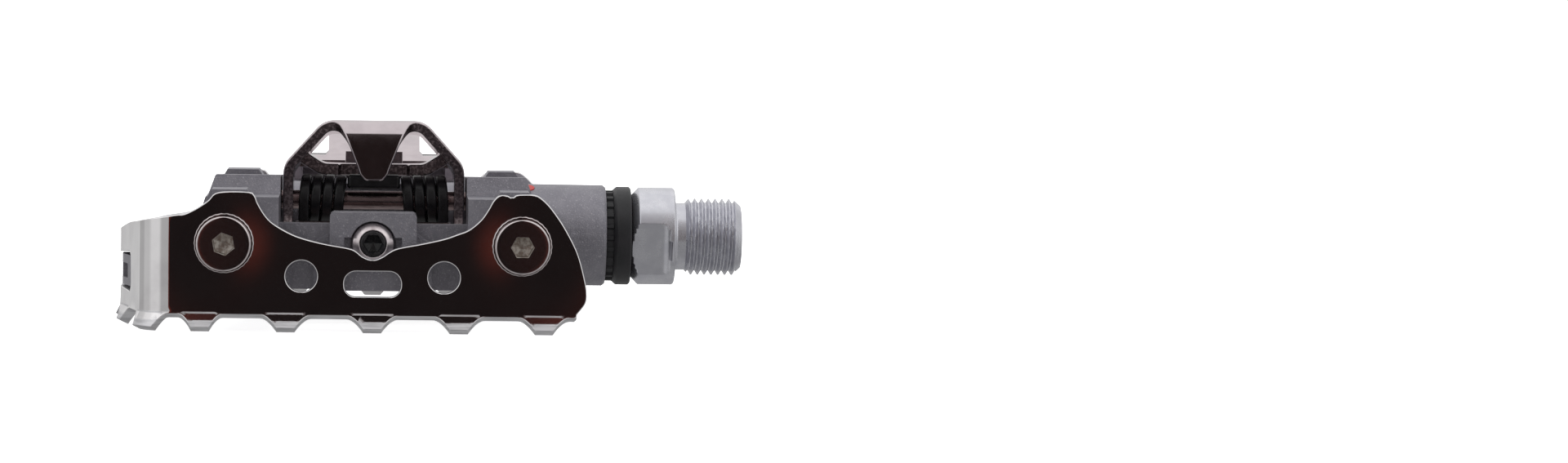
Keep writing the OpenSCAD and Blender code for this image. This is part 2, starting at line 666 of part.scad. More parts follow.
spindle();
dust_seal();
lock_ring();
inner_balls();
outer_balls();
bearing_sleeve();
outer_cone();
tab_washer();
lock_nut();
pedal_body();
side_mark();
end_cap();
cage();
serrated_washers();
cage_bolts();
claw_pin();
rear_claw();
left_spring();
right_spring();
spring_bridge();
tension_bolt();
tension_collar();
tension_nut();
front_claw();
front_claw_screws();
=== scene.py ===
import math
import bmesh
import bpy
import numpy as np
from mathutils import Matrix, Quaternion, Vector
from mathutils.geometry import delaunay_2d_cdt


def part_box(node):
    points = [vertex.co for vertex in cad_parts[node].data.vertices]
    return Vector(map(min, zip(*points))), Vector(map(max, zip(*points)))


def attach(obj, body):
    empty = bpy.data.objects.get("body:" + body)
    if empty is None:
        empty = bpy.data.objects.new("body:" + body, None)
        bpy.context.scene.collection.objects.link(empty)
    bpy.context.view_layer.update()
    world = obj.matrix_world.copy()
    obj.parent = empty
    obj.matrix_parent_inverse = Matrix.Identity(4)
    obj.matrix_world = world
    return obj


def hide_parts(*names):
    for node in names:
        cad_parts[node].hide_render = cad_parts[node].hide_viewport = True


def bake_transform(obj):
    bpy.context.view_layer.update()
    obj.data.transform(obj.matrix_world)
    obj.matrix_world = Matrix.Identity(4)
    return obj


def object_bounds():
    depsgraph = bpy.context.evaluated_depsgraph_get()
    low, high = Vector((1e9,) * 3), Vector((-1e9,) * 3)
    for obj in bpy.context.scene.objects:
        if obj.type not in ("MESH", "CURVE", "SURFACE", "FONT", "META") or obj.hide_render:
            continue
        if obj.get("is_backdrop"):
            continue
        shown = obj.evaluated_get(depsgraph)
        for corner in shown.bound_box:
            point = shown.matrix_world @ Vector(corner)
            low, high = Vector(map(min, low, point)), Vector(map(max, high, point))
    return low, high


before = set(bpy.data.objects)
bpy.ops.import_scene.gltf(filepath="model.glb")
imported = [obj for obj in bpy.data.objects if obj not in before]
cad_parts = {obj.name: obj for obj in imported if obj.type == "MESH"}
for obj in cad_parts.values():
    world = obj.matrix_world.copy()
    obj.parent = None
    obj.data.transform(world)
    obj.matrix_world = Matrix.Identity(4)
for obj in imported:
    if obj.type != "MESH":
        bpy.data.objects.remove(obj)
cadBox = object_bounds()
scene = bpy.context.scene
boltLow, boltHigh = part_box("cage_bolts")
middle = np.array([(boltLow.x + boltHigh.x) / 2, 0, 0])  # the pedal's middle in the part's frame, metres
print("frame loaded, pedal's middle at", middle)


class Wire:
    # a socket of a node; an expression on it adds Math nodes
    def __init__(self, paint, socket):
        self.paint, self.socket = paint, socket

    def maths(self, operation, *others):
        return self.paint.node("Math", {"operation": operation}, dict(enumerate((self, *others))))

    def __add__(self, other): return self.maths("ADD", other)
    def __mul__(self, other): return self.maths("MULTIPLY", other)
    def __truediv__(self, other): return self.maths("DIVIDE", other)
    def __neg__(self): return self.maths("MULTIPLY", -1.0)
    def __radd__(self, other): return self.maths("ADD", other)
    def __rmul__(self, other): return self.maths("MULTIPLY", other)
    def __rsub__(self, other): return self.paint.node("Math", {"operation": "SUBTRACT"}, {0: other, 1: self})

    def smooth(self, low, high):  # 0 below low, 1 above high, an S-curve between them
        return self.paint.node("MapRange", {"interpolation_type": "SMOOTHSTEP"},
                               {0: self, 1: low, 2: high, 3: 0.0, 4: 1.0})


class Paint:
    # a node tree with one method that adds any node and returns its output as a Wire
    def __init__(self, tree):
        self.tree = tree

    def node(self, kind, settings=None, inputs=None, output=0):
        made = self.tree.nodes.new("ShaderNode" + kind)
        for key, value in (settings or {}).items():
            if key == "stops":
                ramp = made.color_ramp
                while len(ramp.elements) < len(value):
                    ramp.elements.new(0.5)
                for element, (place, color) in zip(ramp.elements, value):
                    element.position, element.color = place, (*color, 1)
            else:
                setattr(made, key, value)
        for key, value in (inputs or {}).items():
            if isinstance(value, Wire):
                self.tree.links.new(value.socket, made.inputs[key])
            else:
                if isinstance(value, tuple) and len(value) == 3 and len(made.inputs[key].default_value) == 4:
                    value = (*value, 1)
                made.inputs[key].default_value = value
        return Wire(self, made.outputs[output])

    def place(self):  # where a point is on the object, in millimetres
        spot = self.node("TexCoord", None, None, "Object")
        return self.node("VectorMath", {"operation": "SCALE"}, {0: spot, "Scale": 1000.0})

    def parts(self, vector):
        split = self.node("SeparateXYZ", None, {0: vector})
        return [Wire(self, output) for output in split.socket.node.outputs]

    def stretch(self, vector, factors):
        return self.node("VectorMath", {"operation": "MULTIPLY"}, {0: vector, 1: factors})

    def noise(self, spot, size, detail=2.0, rough=0.5, warp=0.0):  # size is the grain in mm
        return self.node("TexNoise", None, {"Vector": spot, "Scale": 1.0 / size, "Detail": detail,
                                            "Roughness": rough, "Distortion": warp})

    def mix(self, amount, first, second):
        return self.node("Mix", {"data_type": "RGBA"}, {0: amount, 6: first, 7: second}, 2)

    def bump(self, height, depth, strength=1.0):  # depth in millimetres
        return self.node("Bump", None, {"Height": height, "Strength": strength, "Distance": depth / 1000})

    def mark(self, name):  # a number kept on the mesh's points
        return self.node("Attribute", {"attribute_name": name}, None, "Fac")


def finish(name, look, **constants):
    # a Principled material; look(paint, place) returns its varying inputs, constants go on the sockets
    material = bpy.data.materials.new(name)
    material.use_nodes = True
    paint = Paint(material.node_tree)
    shader = material.node_tree.nodes["Principled BSDF"]
    for key, value in {**look(paint, paint.place()), **constants}.items():
        key = key.replace("_", " ")
        if isinstance(value, Wire):
            material.node_tree.links.new(value.socket, shader.inputs[key])
        else:
            shader.inputs[key].default_value = (*value, 1) if isinstance(value, tuple) else value
    color = constants.get("Base_Color", (0.5, 0.5, 0.5))
    material.diffuse_color = (*color, 1)
    return material


def chromeLook(paint, spot):
    # bright plated steel: fine polishing streaks, faint clouds, and greyer rough sheared edges
    cloud = paint.noise(spot, 6.0, 3.0)
    streak = paint.noise(paint.stretch(spot, (0.25, 0.25, 3.0)), 1.2, 3.0)
    edge = paint.mark("cutEdge")
    bare = paint.mix(cloud.smooth(0.35, 0.7), (0.80, 0.785, 0.79), (0.70, 0.68, 0.69))
    grey = paint.mix(streak.smooth(0.4, 0.65), (0.66, 0.655, 0.67), (0.50, 0.495, 0.51))
    return {"Base_Color": paint.mix(edge, bare, grey),
            "Roughness": 0.04 + 0.03 * cloud + edge * 0.36,
            "Normal": paint.bump(streak, 0.004, 0.2)}


def castingLook(paint, spot):
    # blasted die casting: fine grain, a soft skin of flow marks, slightly polished high spots
    grain = paint.noise(spot, 0.30, 4.0, 0.65)
    flow = paint.noise(spot, 3.0, 3.0, 0.55, 0.6)
    tone = paint.mix(flow.smooth(0.3, 0.7), (0.215, 0.208, 0.235), (0.255, 0.247, 0.275))
    return {"Base_Color": paint.mix(grain.smooth(0.55, 0.72), tone, (0.42, 0.405, 0.44)),
            "Roughness": 0.36 + 0.14 * flow,
            "Normal": paint.bump(grain + 0.25 * flow, 0.09, 0.9)}


def groundLook(paint, spot):
    # satin ground steel: fine turned lines round the spindle
    lines = paint.noise(paint.stretch(spot, (7.0, 0.5, 0.5)), 1.0, 2.0)
    cloud = paint.noise(spot, 2.5, 3.0)
    return {"Base_Color": paint.mix(cloud.smooth(0.3, 0.7), (0.62, 0.62, 0.66), (0.54, 0.54, 0.585)),
            "Roughness": 0.22 + 0.12 * cloud,
            "Normal": paint.bump(lines + 0.4 * cloud, 0.008, 0.4)}


def resinLook(paint, spot):
    # charcoal moulded resin with a faint leathery grain
    grain = paint.noise(spot, 0.35, 3.0)
    wide = paint.noise(spot, 4.0, 2.0)
    return {"Base_Color": paint.mix(wide.smooth(0.35, 0.7), (0.014, 0.014, 0.016), (0.022, 0.021, 0.024)),
            "Roughness": 0.34 + 0.2 * grain,
            "Normal": paint.bump(grain, 0.02, 0.5)}


def rubberLook(paint, spot):
    # matt black rubber with a very fine grain
    grain = paint.noise(spot, 0.2, 2.0)
    return {"Base_Color": paint.mix(grain.smooth(0.3, 0.8), (0.008, 0.008, 0.009), (0.02, 0.02, 0.021)),
            "Roughness": 0.55 + 0.2 * grain, "Normal": paint.bump(grain, 0.02, 0.4)}


def bearingLook(paint, spot):
    # clean hardened steel, faintly clouded
    cloud = paint.noise(spot, 1.5, 2.0)
    return {"Base_Color": paint.mix(cloud.smooth(0.3, 0.7), (0.66, 0.66, 0.67), (0.58, 0.58, 0.6)),
            "Roughness": 0.12 + 0.1 * cloud, "Normal": paint.bump(cloud, 0.003, 0.3)}


def nickelLook(paint, spot):
    # clear plated steel with a few handling marks
    cloud = paint.noise(spot, 1.1, 3.0)
    speck = paint.noise(spot, 0.25, 2.0)
    return {"Base_Color": paint.mix(cloud.smooth(0.3, 0.75), (0.66, 0.61, 0.61), (0.50, 0.45, 0.455)),
            "Roughness": 0.05 + 0.05 * cloud + 0.03 * speck,
            "Normal": paint.bump(speck, 0.003, 0.2)}


def clawLook(paint, spot):
    # rosy plated sheet: clear on its faces, torn and mottled along the sheared edges, with a painted dark
    # reflection that makes those edges darker higher up
    cloud = paint.noise(spot, 2.2, 3.0)
    torn = paint.noise(paint.stretch(spot, (1.0, 0.35, 1.0)), 0.55, 3.0, 0.6)
    edge = paint.mark("cutEdge")
    # painted dark reflection: the sheared edges go from the lighter colours below 6 mm to the darker ones
    # above 15 mm
    level = paint.parts(spot)[2]
    face = paint.mix(cloud.smooth(0.2, 0.85), (0.53, 0.475, 0.49), (0.47, 0.42, 0.435))
    low = paint.mix(torn.smooth(0.40, 0.62), (0.20, 0.155, 0.16), (0.46, 0.375, 0.385))
    high = paint.mix(torn.smooth(0.45, 0.70), (0.085, 0.066, 0.07), (0.30, 0.24, 0.25))
    return {"Base_Color": paint.mix(edge, face, paint.mix(level.smooth(6.0, 15.0), low, high)),
            "Roughness": 0.085 + 0.05 * cloud + edge * 0.26,
            "Normal": paint.bump(torn * edge + cloud * 0.03, 0.10, 0.6)}


def springLook(paint, spot):
    # blackened spring wire under a thin film of oil
    cloud = paint.noise(spot, 1.4, 3.0)
    return {"Base_Color": paint.mix(cloud.smooth(0.3, 0.75), (0.006, 0.006, 0.007), (0.013, 0.012, 0.014)),
            "Roughness": 0.22 + 0.14 * cloud, "Normal": paint.bump(cloud, 0.008, 0.3)}


def screwLook(paint, spot):
    # black oxide, worn a little lighter in clouds
    cloud = paint.noise(spot, 0.8, 3.0)
    return {"Base_Color": paint.mix(cloud.smooth(0.3, 0.75), (0.012, 0.012, 0.014), (0.03, 0.028, 0.03)),
            "Roughness": 0.2 + 0.15 * cloud, "Normal": paint.bump(cloud, 0.006, 0.4)}


def collarLook(paint, spot):
    # satin plating with a rosy cast
    cloud = paint.noise(spot, 0.9, 2.0)
    return {"Base_Color": paint.mix(cloud.smooth(0.3, 0.75), (0.78, 0.72, 0.73), (0.62, 0.55, 0.57)),
            "Roughness": 0.26 + 0.12 * cloud, "Normal": paint.bump(cloud, 0.005, 0.3)}


def redLook(paint, spot):
    # red paint, thin in places
    cloud = paint.noise(spot, 0.5, 2.0)
    return {"Base_Color": paint.mix(cloud.smooth(0.3, 0.8), (0.62, 0.03, 0.02), (0.48, 0.02, 0.015)),
            "Roughness": 0.32 + 0.15 * cloud, "Normal": paint.bump(cloud, 0.01, 0.4)}


def pinLook(paint, spot):
    # hardened pin, darkened and rubbed along its length
    rub = paint.noise(paint.stretch(spot, (0.3, 2.0, 2.0)), 0.8, 3.0)
    return {"Base_Color": paint.mix(rub.smooth(0.3, 0.75), (0.26, 0.20, 0.20), (0.16, 0.12, 0.12)),
            "Roughness": 0.2 + 0.15 * rub, "Normal": paint.bump(rub, 0.01, 0.4)}


def socketLook(paint, spot):
    # inside of a hexagon socket: bare steel with brown grease
    cloud = paint.noise(spot, 0.7, 3.0)
    return {"Base_Color": paint.mix(cloud.smooth(0.35, 0.65), (0.50, 0.46, 0.42), (0.26, 0.21, 0.18)),
            "Roughness": 0.35 + 0.2 * cloud, "Normal": paint.bump(cloud, 0.02, 0.5)}


chrome = finish("cage_chrome", chromeLook, Metallic=1.0)
casting = finish("grey_casting", castingLook, Metallic=0.75)
ground = finish("ground_steel", groundLook, Metallic=0.9)
resin = finish("black_resin", resinLook, Specular_IOR_Level=0.35)
rubber = finish("seal_rubber", rubberLook)
bearing = finish("bearing_steel", bearingLook, Metallic=1.0)
nickel = finish("dark_nickel", nickelLook, Metallic=1.0)
plating = finish("claw_plating", clawLook, Metallic=1.0)
pinSteel = finish("pin_steel", pinLook, Metallic=1.0)
frontPlating = finish("front_plating", clawLook, Metallic=1.0)
blackWire = finish("spring_black", springLook, Specular_IOR_Level=0.28)
blackScrew = finish("black_screw", screwLook, Specular_IOR_Level=0.4)
collarChrome = finish("collar_chrome", collarLook, Metallic=1.0)
redPaint = finish("red_paint", redLook)
socketSteel = finish("socket_steel", socketLook, Metallic=0.85)
print("finishes made")


def unit(a):
    # each vector divided by its length
    return a / np.maximum(np.linalg.norm(a, axis=-1, keepdims=True), 1e-12)


def newPiece(name, body, materials, points, faces, normals=None, marks=None, kinds=None, node=()):
    # points are millimetres from the pedal's middle, and faces is a list of index arrays; the faces are turned
    # outwards by the sign of the closed mesh's volume, and given normals are turned to agree
    points = np.asarray(points, float)
    tris = np.concatenate([np.stack([f[:, [0, k, k + 1]] for k in range(1, f.shape[1] - 1)], 1).reshape(-1, 3)
                           for f in faces])  # each face as a fan from its first corner
    a, b, c = (points[tris[:, k]] for k in range(3))
    across = np.cross(b - a, c - a)
    if (a * across).sum() < 0:
        faces, across = [f[:, ::-1] for f in faces], -across
    mesh = bpy.data.meshes.new(name)
    mesh.vertices.add(len(points))
    mesh.vertices.foreach_set("co", (points / 1000 + middle).astype(np.float32).ravel())
    loops = np.concatenate([f.ravel() for f in faces]).astype(np.int32)
    counts = np.concatenate([np.full(len(f), f.shape[1]) for f in faces])
    mesh.loops.add(len(loops))
    mesh.loops.foreach_set("vertex_index", loops)
    mesh.polygons.add(len(counts))
    mesh.polygons.foreach_set("loop_start", np.concatenate([[0], np.cumsum(counts)[:-1]]).astype(np.int32))
    for material in materials:
        mesh.materials.append(material)
    if kinds is not None:
        mesh.polygons.foreach_set("material_index", np.concatenate(kinds).astype(np.int32))
    mesh.update(calc_edges=True)
    mesh.validate()
    mesh.shade_smooth()
    if normals is None:
        mesh.set_sharp_from_angle(angle=math.radians(32))
    else:
        total = np.zeros_like(points)
        for k in range(3):
            np.add.at(total, tris[:, k], across)
        if (total * normals).sum() < 0:
            normals = -normals
        mesh.normals_split_custom_set_from_vertices(unit(np.asarray(normals, float)).astype(np.float32))
    mark = mesh.attributes.new("cutEdge", "FLOAT", "POINT")
    mark.data.foreach_set("value", (np.zeros(len(points)) if marks is None else marks).astype(np.float32))
    piece = bpy.data.objects.new(name, mesh)
    scene.collection.objects.link(piece)
    if normals is None:
        piece.modifiers.new("even shading", "WEIGHTED_NORMAL").keep_sharp = True
    if body:
        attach(piece, body)
    if node:
        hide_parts(*node)
    return piece


def roundedLine(corners, radii, closed=False, steps=5):
    # straight lines joined by arcs: at each corner the arc starts radius * tan(half the turn) before it;
    # returns the points and, at each, the direction to the right of the line
    p = np.asarray(corners, float)
    radii = np.broadcast_to(np.asarray(radii, float), len(p))
    d1, d2 = p - np.roll(p, 1, 0), np.roll(p, -1, 0) - p
    l1, l2 = np.linalg.norm(d1, axis=1), np.linalg.norm(d2, axis=1)
    d1, d2 = unit(d1), unit(d2)
    turn = np.arctan2(d1[:, 0] * d2[:, 1] - d1[:, 1] * d2[:, 0], (d1 * d2).sum(1))
    slope = np.maximum(np.tan(np.abs(turn) / 2), 1e-6)
    r = np.minimum(radii, 0.46 * np.minimum(l1, l2) / slope)
    right = np.stack([d1[:, 1], -d1[:, 0]], 1)
    angle = turn[:, None] * np.linspace(0, 1, steps)
    c, s = np.cos(angle), np.sin(angle)
    side, ahead = right[:, None, 0], right[:, None, 1]
    n = np.stack([c * side - s * ahead, s * side + c * ahead], 2)
    centre = p - d1 * (r * slope)[:, None] - (np.sign(turn) * r)[:, None] * right
    q = centre[:, None] + (np.sign(turn) * r)[:, None, None] * n
    if not closed:
        first = np.stack([d2[0, 1:2], -d2[0, 0:1]], 1)
        q = np.concatenate([p[:1], q[1:-1].reshape(-1, 2), p[-1:]])
        n = np.concatenate([first, n[1:-1].reshape(-1, 2), right[-1:]])
    q, n = q.reshape(-1, 2), n.reshape(-1, 2)
    keep = np.linalg.norm(q - np.roll(q, 1, 0), axis=1) > 1e-5
    keep[0] = keep[0] or not closed
    return q[keep], n[keep]


def gridFaces(rows, columns, closedRows=False, start=0):
    # quads between neighbouring rings; the last column joins the first
    ring = np.arange(rows if closedRows else rows - 1)[:, None]
    column = np.arange(columns)[None]
    nextRing, nextColumn = (ring + 1) % rows * columns, (column + 1) % columns
    ring = ring * columns
    quad = np.stack([ring + column, ring + nextColumn, nextRing + nextColumn, nextRing + column], -1)
    return quad.reshape(-1, 4) + start


def poledFaces(rows, columns):
    # rings joined by quads, with a fan at each end to two last points, the poles
    column, last = np.arange(columns), (rows - 1) * columns
    nextColumn = (column + 1) % columns
    pole = np.full(columns, rows * columns)
    return [gridFaces(rows, columns), np.stack([pole, nextColumn, column], 1),
            np.stack([pole + 1, last + column, last + nextColumn], 1)]


# directions along an axis, to its side and up from it
axes = {"x": ((1, 0, 0), (0, 1, 0), (0, 0, 1)), "y": ((0, 1, 0), (0, 0, 1), (1, 0, 0)),
        "-y": ((0, -1, 0), (1, 0, 0), (0, 0, 1)), "z": ((0, 0, 1), (1, 0, 0), (0, 1, 0))}


def turned(name, body, material, profile, radii, centre=(0, 0, 0), axis="x", columns=128,
           closed=False, node=()):
    # surface of revolution: point = centre + along * axis + radius * (cos(angle) * side + sin(angle) * up);
    # an open profile starts and ends on the axis, at its poles
    line, right = roundedLine(profile, radii, closed)
    along, side, up = (np.array(v, float) for v in axes[axis])
    angle = np.arange(columns) * 2 * math.pi / columns
    spoke = np.cos(angle)[:, None] * side + np.sin(angle)[:, None] * up
    rings, facing = (line, right) if closed else (line[1:-1], right[1:-1])
    points = (rings[:, None, 0:1] * along + rings[:, None, 1:2] * spoke).reshape(-1, 3)
    normals = (facing[:, None, 0:1] * along + facing[:, None, 1:2] * spoke).reshape(-1, 3)
    if closed:
        faces = [gridFaces(len(rings), columns, True)]
    else:
        faces = poledFaces(len(rings), columns)
        points = np.concatenate([points, line[[0, -1]][:, 0:1] * along])
        normals = np.concatenate([normals, right[[0, -1]][:, 0:1] * along])
    points = points + np.array(centre, float)
    return newPiece(name, body, [material], points, faces, normals, node=node)


def smoothLine(points, spacing):
    # a Catmull-Rom curve through the points, then points at even spacing along it
    p = np.asarray(points, float)
    p = np.concatenate([2 * p[:1] - p[1:2], p, 2 * p[-1:] - p[-2:-1]])
    t = np.linspace(0, 1, 16, endpoint=False)[:, None, None]
    a, b, c, d = p[:-3], p[1:-2], p[2:-1], p[3:]
    q = 0.5 * (2 * b + (c - a) * t + (2 * a - 5 * b + 4 * c - d) * t ** 2 + (3 * b - a - 3 * c + d) * t ** 3)
    q = np.concatenate([q.transpose(1, 0, 2).reshape(-1, 2), p[-2:-1]])
    return evenly(q, spacing)


def evenly(line, spacing):
    # points at even spacing along a line of many points, both ends kept
    run = np.concatenate([[0], np.cumsum(np.linalg.norm(np.diff(line, axis=0), axis=1))])
    count = max(2, int(round(run[-1] / spacing)) + 1)
    s = np.linspace(0, run[-1], count)
    return np.stack([np.interp(s, run, line[:, k]) for k in range(2)], 1)


def evenLoop(corners, radii, spacing):
    # a closed outline with rounded corners, its points at even spacing
    q, _ = roundedLine(corners, radii, True, 9)
    return evenly(np.concatenate([q, q[:1]]), spacing)[:-1]


def circleLoop(x, y, r, count=48):
    # centre + radius * (cos(angle), sin(angle))
    a = np.arange(count) * 2 * math.pi / count
    return np.stack([x + r * np.cos(a), y + r * np.sin(a)], 1)


def inside(points, loops):
    # even-odd rule: a point is inside when a ray to the right crosses the outlines an odd number of times
    result = np.zeros(len(points), bool)
    for loop in loops:
        a, b = loop, np.roll(loop, -1, 0)
        y = points[:, 1:2]
        crosses = (a[:, 1] > y) != (b[:, 1] > y)
        rise = np.where(b[:, 1] == a[:, 1], 1e-12, b[:, 1] - a[:, 1])
        x = a[:, 0] + (y - a[:, 1]) / rise * (b[:, 0] - a[:, 0])
        result ^= (crosses & (points[:, 0:1] < x)).sum(1) % 2 == 1
    return result


def sheet(name, body, material, outline, holes, surface, thick, front, back, spacing, rows=(),
          rough=None, tipLevel=None, node=()):
    # sheet metal: outlines in the flat, surface(u, v) gives place, outward, along-u and along-v directions;
    # the two faces are triangulated in the flat, and each outline gets an edge swept round it, with the radii
    # front and back; rows are heights that get points of their own, and rough(u, v) marks the front face
    loops = []
    for k, loop in enumerate([outline, *holes]):
        area = (loop[:, 0] * np.roll(loop[:, 1], -1) - loop[:, 1] * np.roll(loop[:, 0], -1)).sum()
        # the outline runs anticlockwise and the holes clockwise
        loops.append(loop[::-1] if (area > 0) == (k > 0) else loop)
    a = np.radians([0, 22.5, 45, 67.5, 90])
    inset = np.concatenate([front * (1 - np.sin(a)), back * (1 - np.sin(a[::-1]))])
    deep = np.concatenate([front * (1 - np.cos(a)), thick - back * (1 - np.cos(a[::-1]))])
    tilt = np.concatenate([a, math.pi - a[::-1]])
    points, normals, marks, faces, rims, backs, flats, start = [], [], [], [], [], [], [], 0
    for loop in loops:
        d = unit(np.roll(loop, -1, 0) - np.roll(loop, 1, 0))
        out = np.stack([d[:, 1], -d[:, 0]], 1)
        flat = loop[None] - out[None] * inset[:, None, None]
        place, away, alongU, alongV = surface(flat[..., 0], flat[..., 1])
        edge = out[None, :, 0:1] * alongU + out[None, :, 1:2] * alongV
        count = len(loop)
        points.append((place - deep[:, None, None] * away).reshape(-1, 3))
        cosine, sine = np.cos(tilt)[:, None, None], np.sin(tilt)[:, None, None]
        normals.append((away * cosine + edge * sine).reshape(-1, 3))
        mark = np.clip(np.sin(tilt) * 4 - 3, 0, 1)[:, None] + np.zeros((1, count))
        if tipLevel is not None:  # the ground tips stay grey over their rounded front edge
            mark[:len(a)] = np.maximum(mark[:len(a)], flat[:len(a), :, 1] < tipLevel)
        marks.append(mark.ravel())
        faces.append(gridFaces(len(tilt), count, False, start))
        rims.append(start + np.arange(count))
        backs.append(start + (len(tilt) - 1) * count + np.arange(count))
        flats.append(flat[0])
        start += len(tilt) * count
    low, high = outline.min(0), outline.max(0)
    gridU, gridV = np.meshgrid(*(np.arange(low[k] + spacing / 2, high[k], spacing) for k in range(2)))
    grid = np.stack([gridU.ravel(), gridV.ravel()], 1)
    for row in rows:
        grid = grid[np.abs(grid[:, 1] - row) > spacing * 0.3]
    for row in rows:
        u = np.arange(low[0], high[0], spacing)
        grid = np.concatenate([grid, np.stack([u, np.full(len(u), row)], 1)])
    grid = grid[inside(grid, flats)]
    rim = np.concatenate(flats)
    near = np.full(len(grid), 1e9)
    for part in np.array_split(np.arange(len(rim)), max(1, len(rim) // 200)):
        near = np.minimum(near, np.linalg.norm(grid[:, None] - rim[None, part], axis=2).min(1))
    grid = grid[near > 0.12 + 0.25 * spacing * (near > 0)]
    flatPoints = np.concatenate([rim, grid])
    edges, done = [], 0
    for f in flats:
        edges += [(done + i, done + (i + 1) % len(f)) for i in range(len(f))]
        done += len(f)
    _, _, cells, ids, _, _ = delaunay_2d_cdt([Vector(p) for p in flatPoints.tolist()], edges, [], 0, 1e-7)
    origin = np.array([i[0] if i else -1 for i in ids])
    cells = origin[np.array([c for c in cells if len(c) == 3])]
    cells = cells[(cells >= 0).all(1)]
    cells = cells[inside(flatPoints[cells].mean(1), flats)]
    p = flatPoints[cells]
    b, c = p[:, 1] - p[:, 0], p[:, 2] - p[:, 0]
    turn = b[:, 0] * c[:, 1] - b[:, 1] * c[:, 0]
    cells[turn < 0] = cells[turn < 0][:, ::-1]
    place, away, alongU, alongV = surface(grid[:, 0], grid[:, 1])
    points += [place, place - thick * away]
    normals += [away, -away]
    marks.append(np.zeros(len(grid)) if rough is None else rough(grid[:, 0], grid[:, 1]).astype(float))
    marks.append(np.zeros(len(grid)))
    frontIndex = np.concatenate([*rims, start + np.arange(len(grid))])
    backIndex = np.concatenate([*backs, start + len(grid) + np.arange(len(grid))])
    # outlines run anticlockwise in the flat, so the edge quads are reversed to agree with the front face
    faces = [f[:, ::-1] for f in faces] + [frontIndex[cells], backIndex[cells][:, ::-1]]
    return newPiece(name, body, [material], np.concatenate(points), faces, np.concatenate(normals),
                    np.concatenate(marks), node=node)


def bentLine(bends, step=0.01):
    # a line made of (length, turn in degrees) stretches; returns its run, heading and integrated place
    lengths, turns = np.array(bends, float).T
    run = np.arange(0, lengths.sum() + step, step)
    knots = np.concatenate([[0], np.cumsum(lengths)])
    heading = np.interp(run, knots, np.radians(np.concatenate([[0], np.cumsum(turns)])))
    mid = (heading[1:] + heading[:-1]) / 2
    x = np.concatenate([[0], np.cumsum(np.cos(mid) * np.diff(run))])
    y = np.concatenate([[0], np.cumsum(np.sin(mid) * np.diff(run))])
    return run, heading, x, y


def softCopy(node, name, body, material, width=0.25, segments=3, angle=30):
    # a copy of a CAD node with its triangles merged back into faces and its edges rounded by a Bevel
    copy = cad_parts[node].data.copy()
    copy.name = name
    work = bmesh.new()
    work.from_mesh(copy)
    bmesh.ops.remove_doubles(work, verts=work.verts, dist=2e-6)
    bmesh.ops.dissolve_limit(work, angle_limit=math.radians(1.0), verts=work.verts, edges=work.edges)
    work.to_mesh(copy)
    work.free()
    copy.materials.clear()
    copy.materials.append(material)
    copy.shade_smooth()
    copy.set_sharp_from_angle(angle=math.radians(angle))
    mark = copy.attributes.new("cutEdge", "FLOAT", "POINT")
    mark.data.foreach_set("value", np.zeros(len(copy.vertices), np.float32))
    piece = bpy.data.objects.new(name, copy)
    scene.collection.objects.link(piece)
    bevel = piece.modifiers.new("soft edges", "BEVEL")
    bevel.width, bevel.segments, bevel.limit_method = width / 1000, segments, "ANGLE"
    bevel.angle_limit, bevel.harden_normals = math.radians(angle), True
    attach(piece, body)
    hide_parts(node)
    return piece


# lengths in mm and angles in degrees, but the floor's reach in metres; level lists the panels' brightness by
# azimuth, and a black strip hangs behind the camera
studio = {"floor": -15.3, "reach": 30.0, "distance": 800, "elevation": 3.4, "lens": 98.25, "aside": 0.262,
          "up": 0.0008, "roll": 0.67, "strip": 7.0, "stripTop": 62.0, "above": 1.12, "below": 0.55,
          "level": [(0.0, 0.60), (30, 0.62), (40, 1.0), (68, 1.0), (80, 0.78), (100, 0.78), (108, 0.60),
                    (134, 0.60), (141, 0.95), (150, 0.80)]}

floorMesh = bpy.data.meshes.new("floor")
floorCorners = [(x * studio["reach"], y * studio["reach"], studio["floor"] / 1000)
                for x, y in ((-1, -1), (1, -1), (1, 1), (-1, 1))]
floorMesh.from_pydata(floorCorners, [], [(0, 1, 2, 3)])
floor = bpy.data.objects.new("floor", floorMesh)
scene.collection.objects.link(floor)
floor.visible_glossy = False
floor.visible_diffuse = False


def floorLook(paint, spot):
    # almost white, with wide faint clouds
    cloud = paint.noise(spot, 90.0, 2.0)
    return {"Base_Color": paint.mix(cloud, (0.93, 0.93, 0.93), (0.95, 0.95, 0.95))}


floorMesh.materials.append(finish("pale_floor", floorLook, Roughness=0.9, Emission_Color=(1, 1, 1),
                                  Emission_Strength=0.85))
floor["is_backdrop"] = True

# white for the camera; for reflections, soft panels by azimuth, brighter overhead, and one dark strip
world = bpy.data.worlds.new("studio")
scene.world = world
world.use_nodes = True
sky = Paint(world.node_tree)
world.node_tree.nodes.clear()
east, north, high = sky.parts(sky.node("TexCoord", None, None, "Generated"))
azimuth = sky.node("Math", {"operation": "ARCTAN2"}, {0: east, 1: -north}) * (180 / math.pi)
height = sky.node("Math", {"operation": "ARCSINE"}, {0: high}) * (180 / math.pi)
offside = sky.node("Math", {"operation": "ABSOLUTE"}, {0: azimuth})
tent = height.smooth(-25, 30) * (studio["above"] - studio["below"]) + studio["below"]
stops = [(angle / 180, (value, value, value)) for angle, value in studio["level"]]
bands = sky.node("ValToRGB", {"stops": stops}, {0: offside / 180})
low = 1 - height.smooth(20, 60)
tall = height.smooth(-14, -11) * (1 - height.smooth(studio["stripTop"] - 4, studio["stripTop"]))
strip = (1 - offside.smooth(studio["strip"] - 0.6, studio["strip"])) * tall
inner = offside.smooth(2.2, 5.0)
dark = sky.mix(inner, (0.012, 0.009, 0.009), (0.10, 0.022, 0.016))
wall = sky.mix(low, (1.0, 1.0, 1.0), bands)
gray = sky.node("VectorMath", {"operation": "SCALE"}, {0: wall, "Scale": tent})
around = sky.node("Background", None, {0: sky.mix(strip, gray, dark), 1: 1.0})
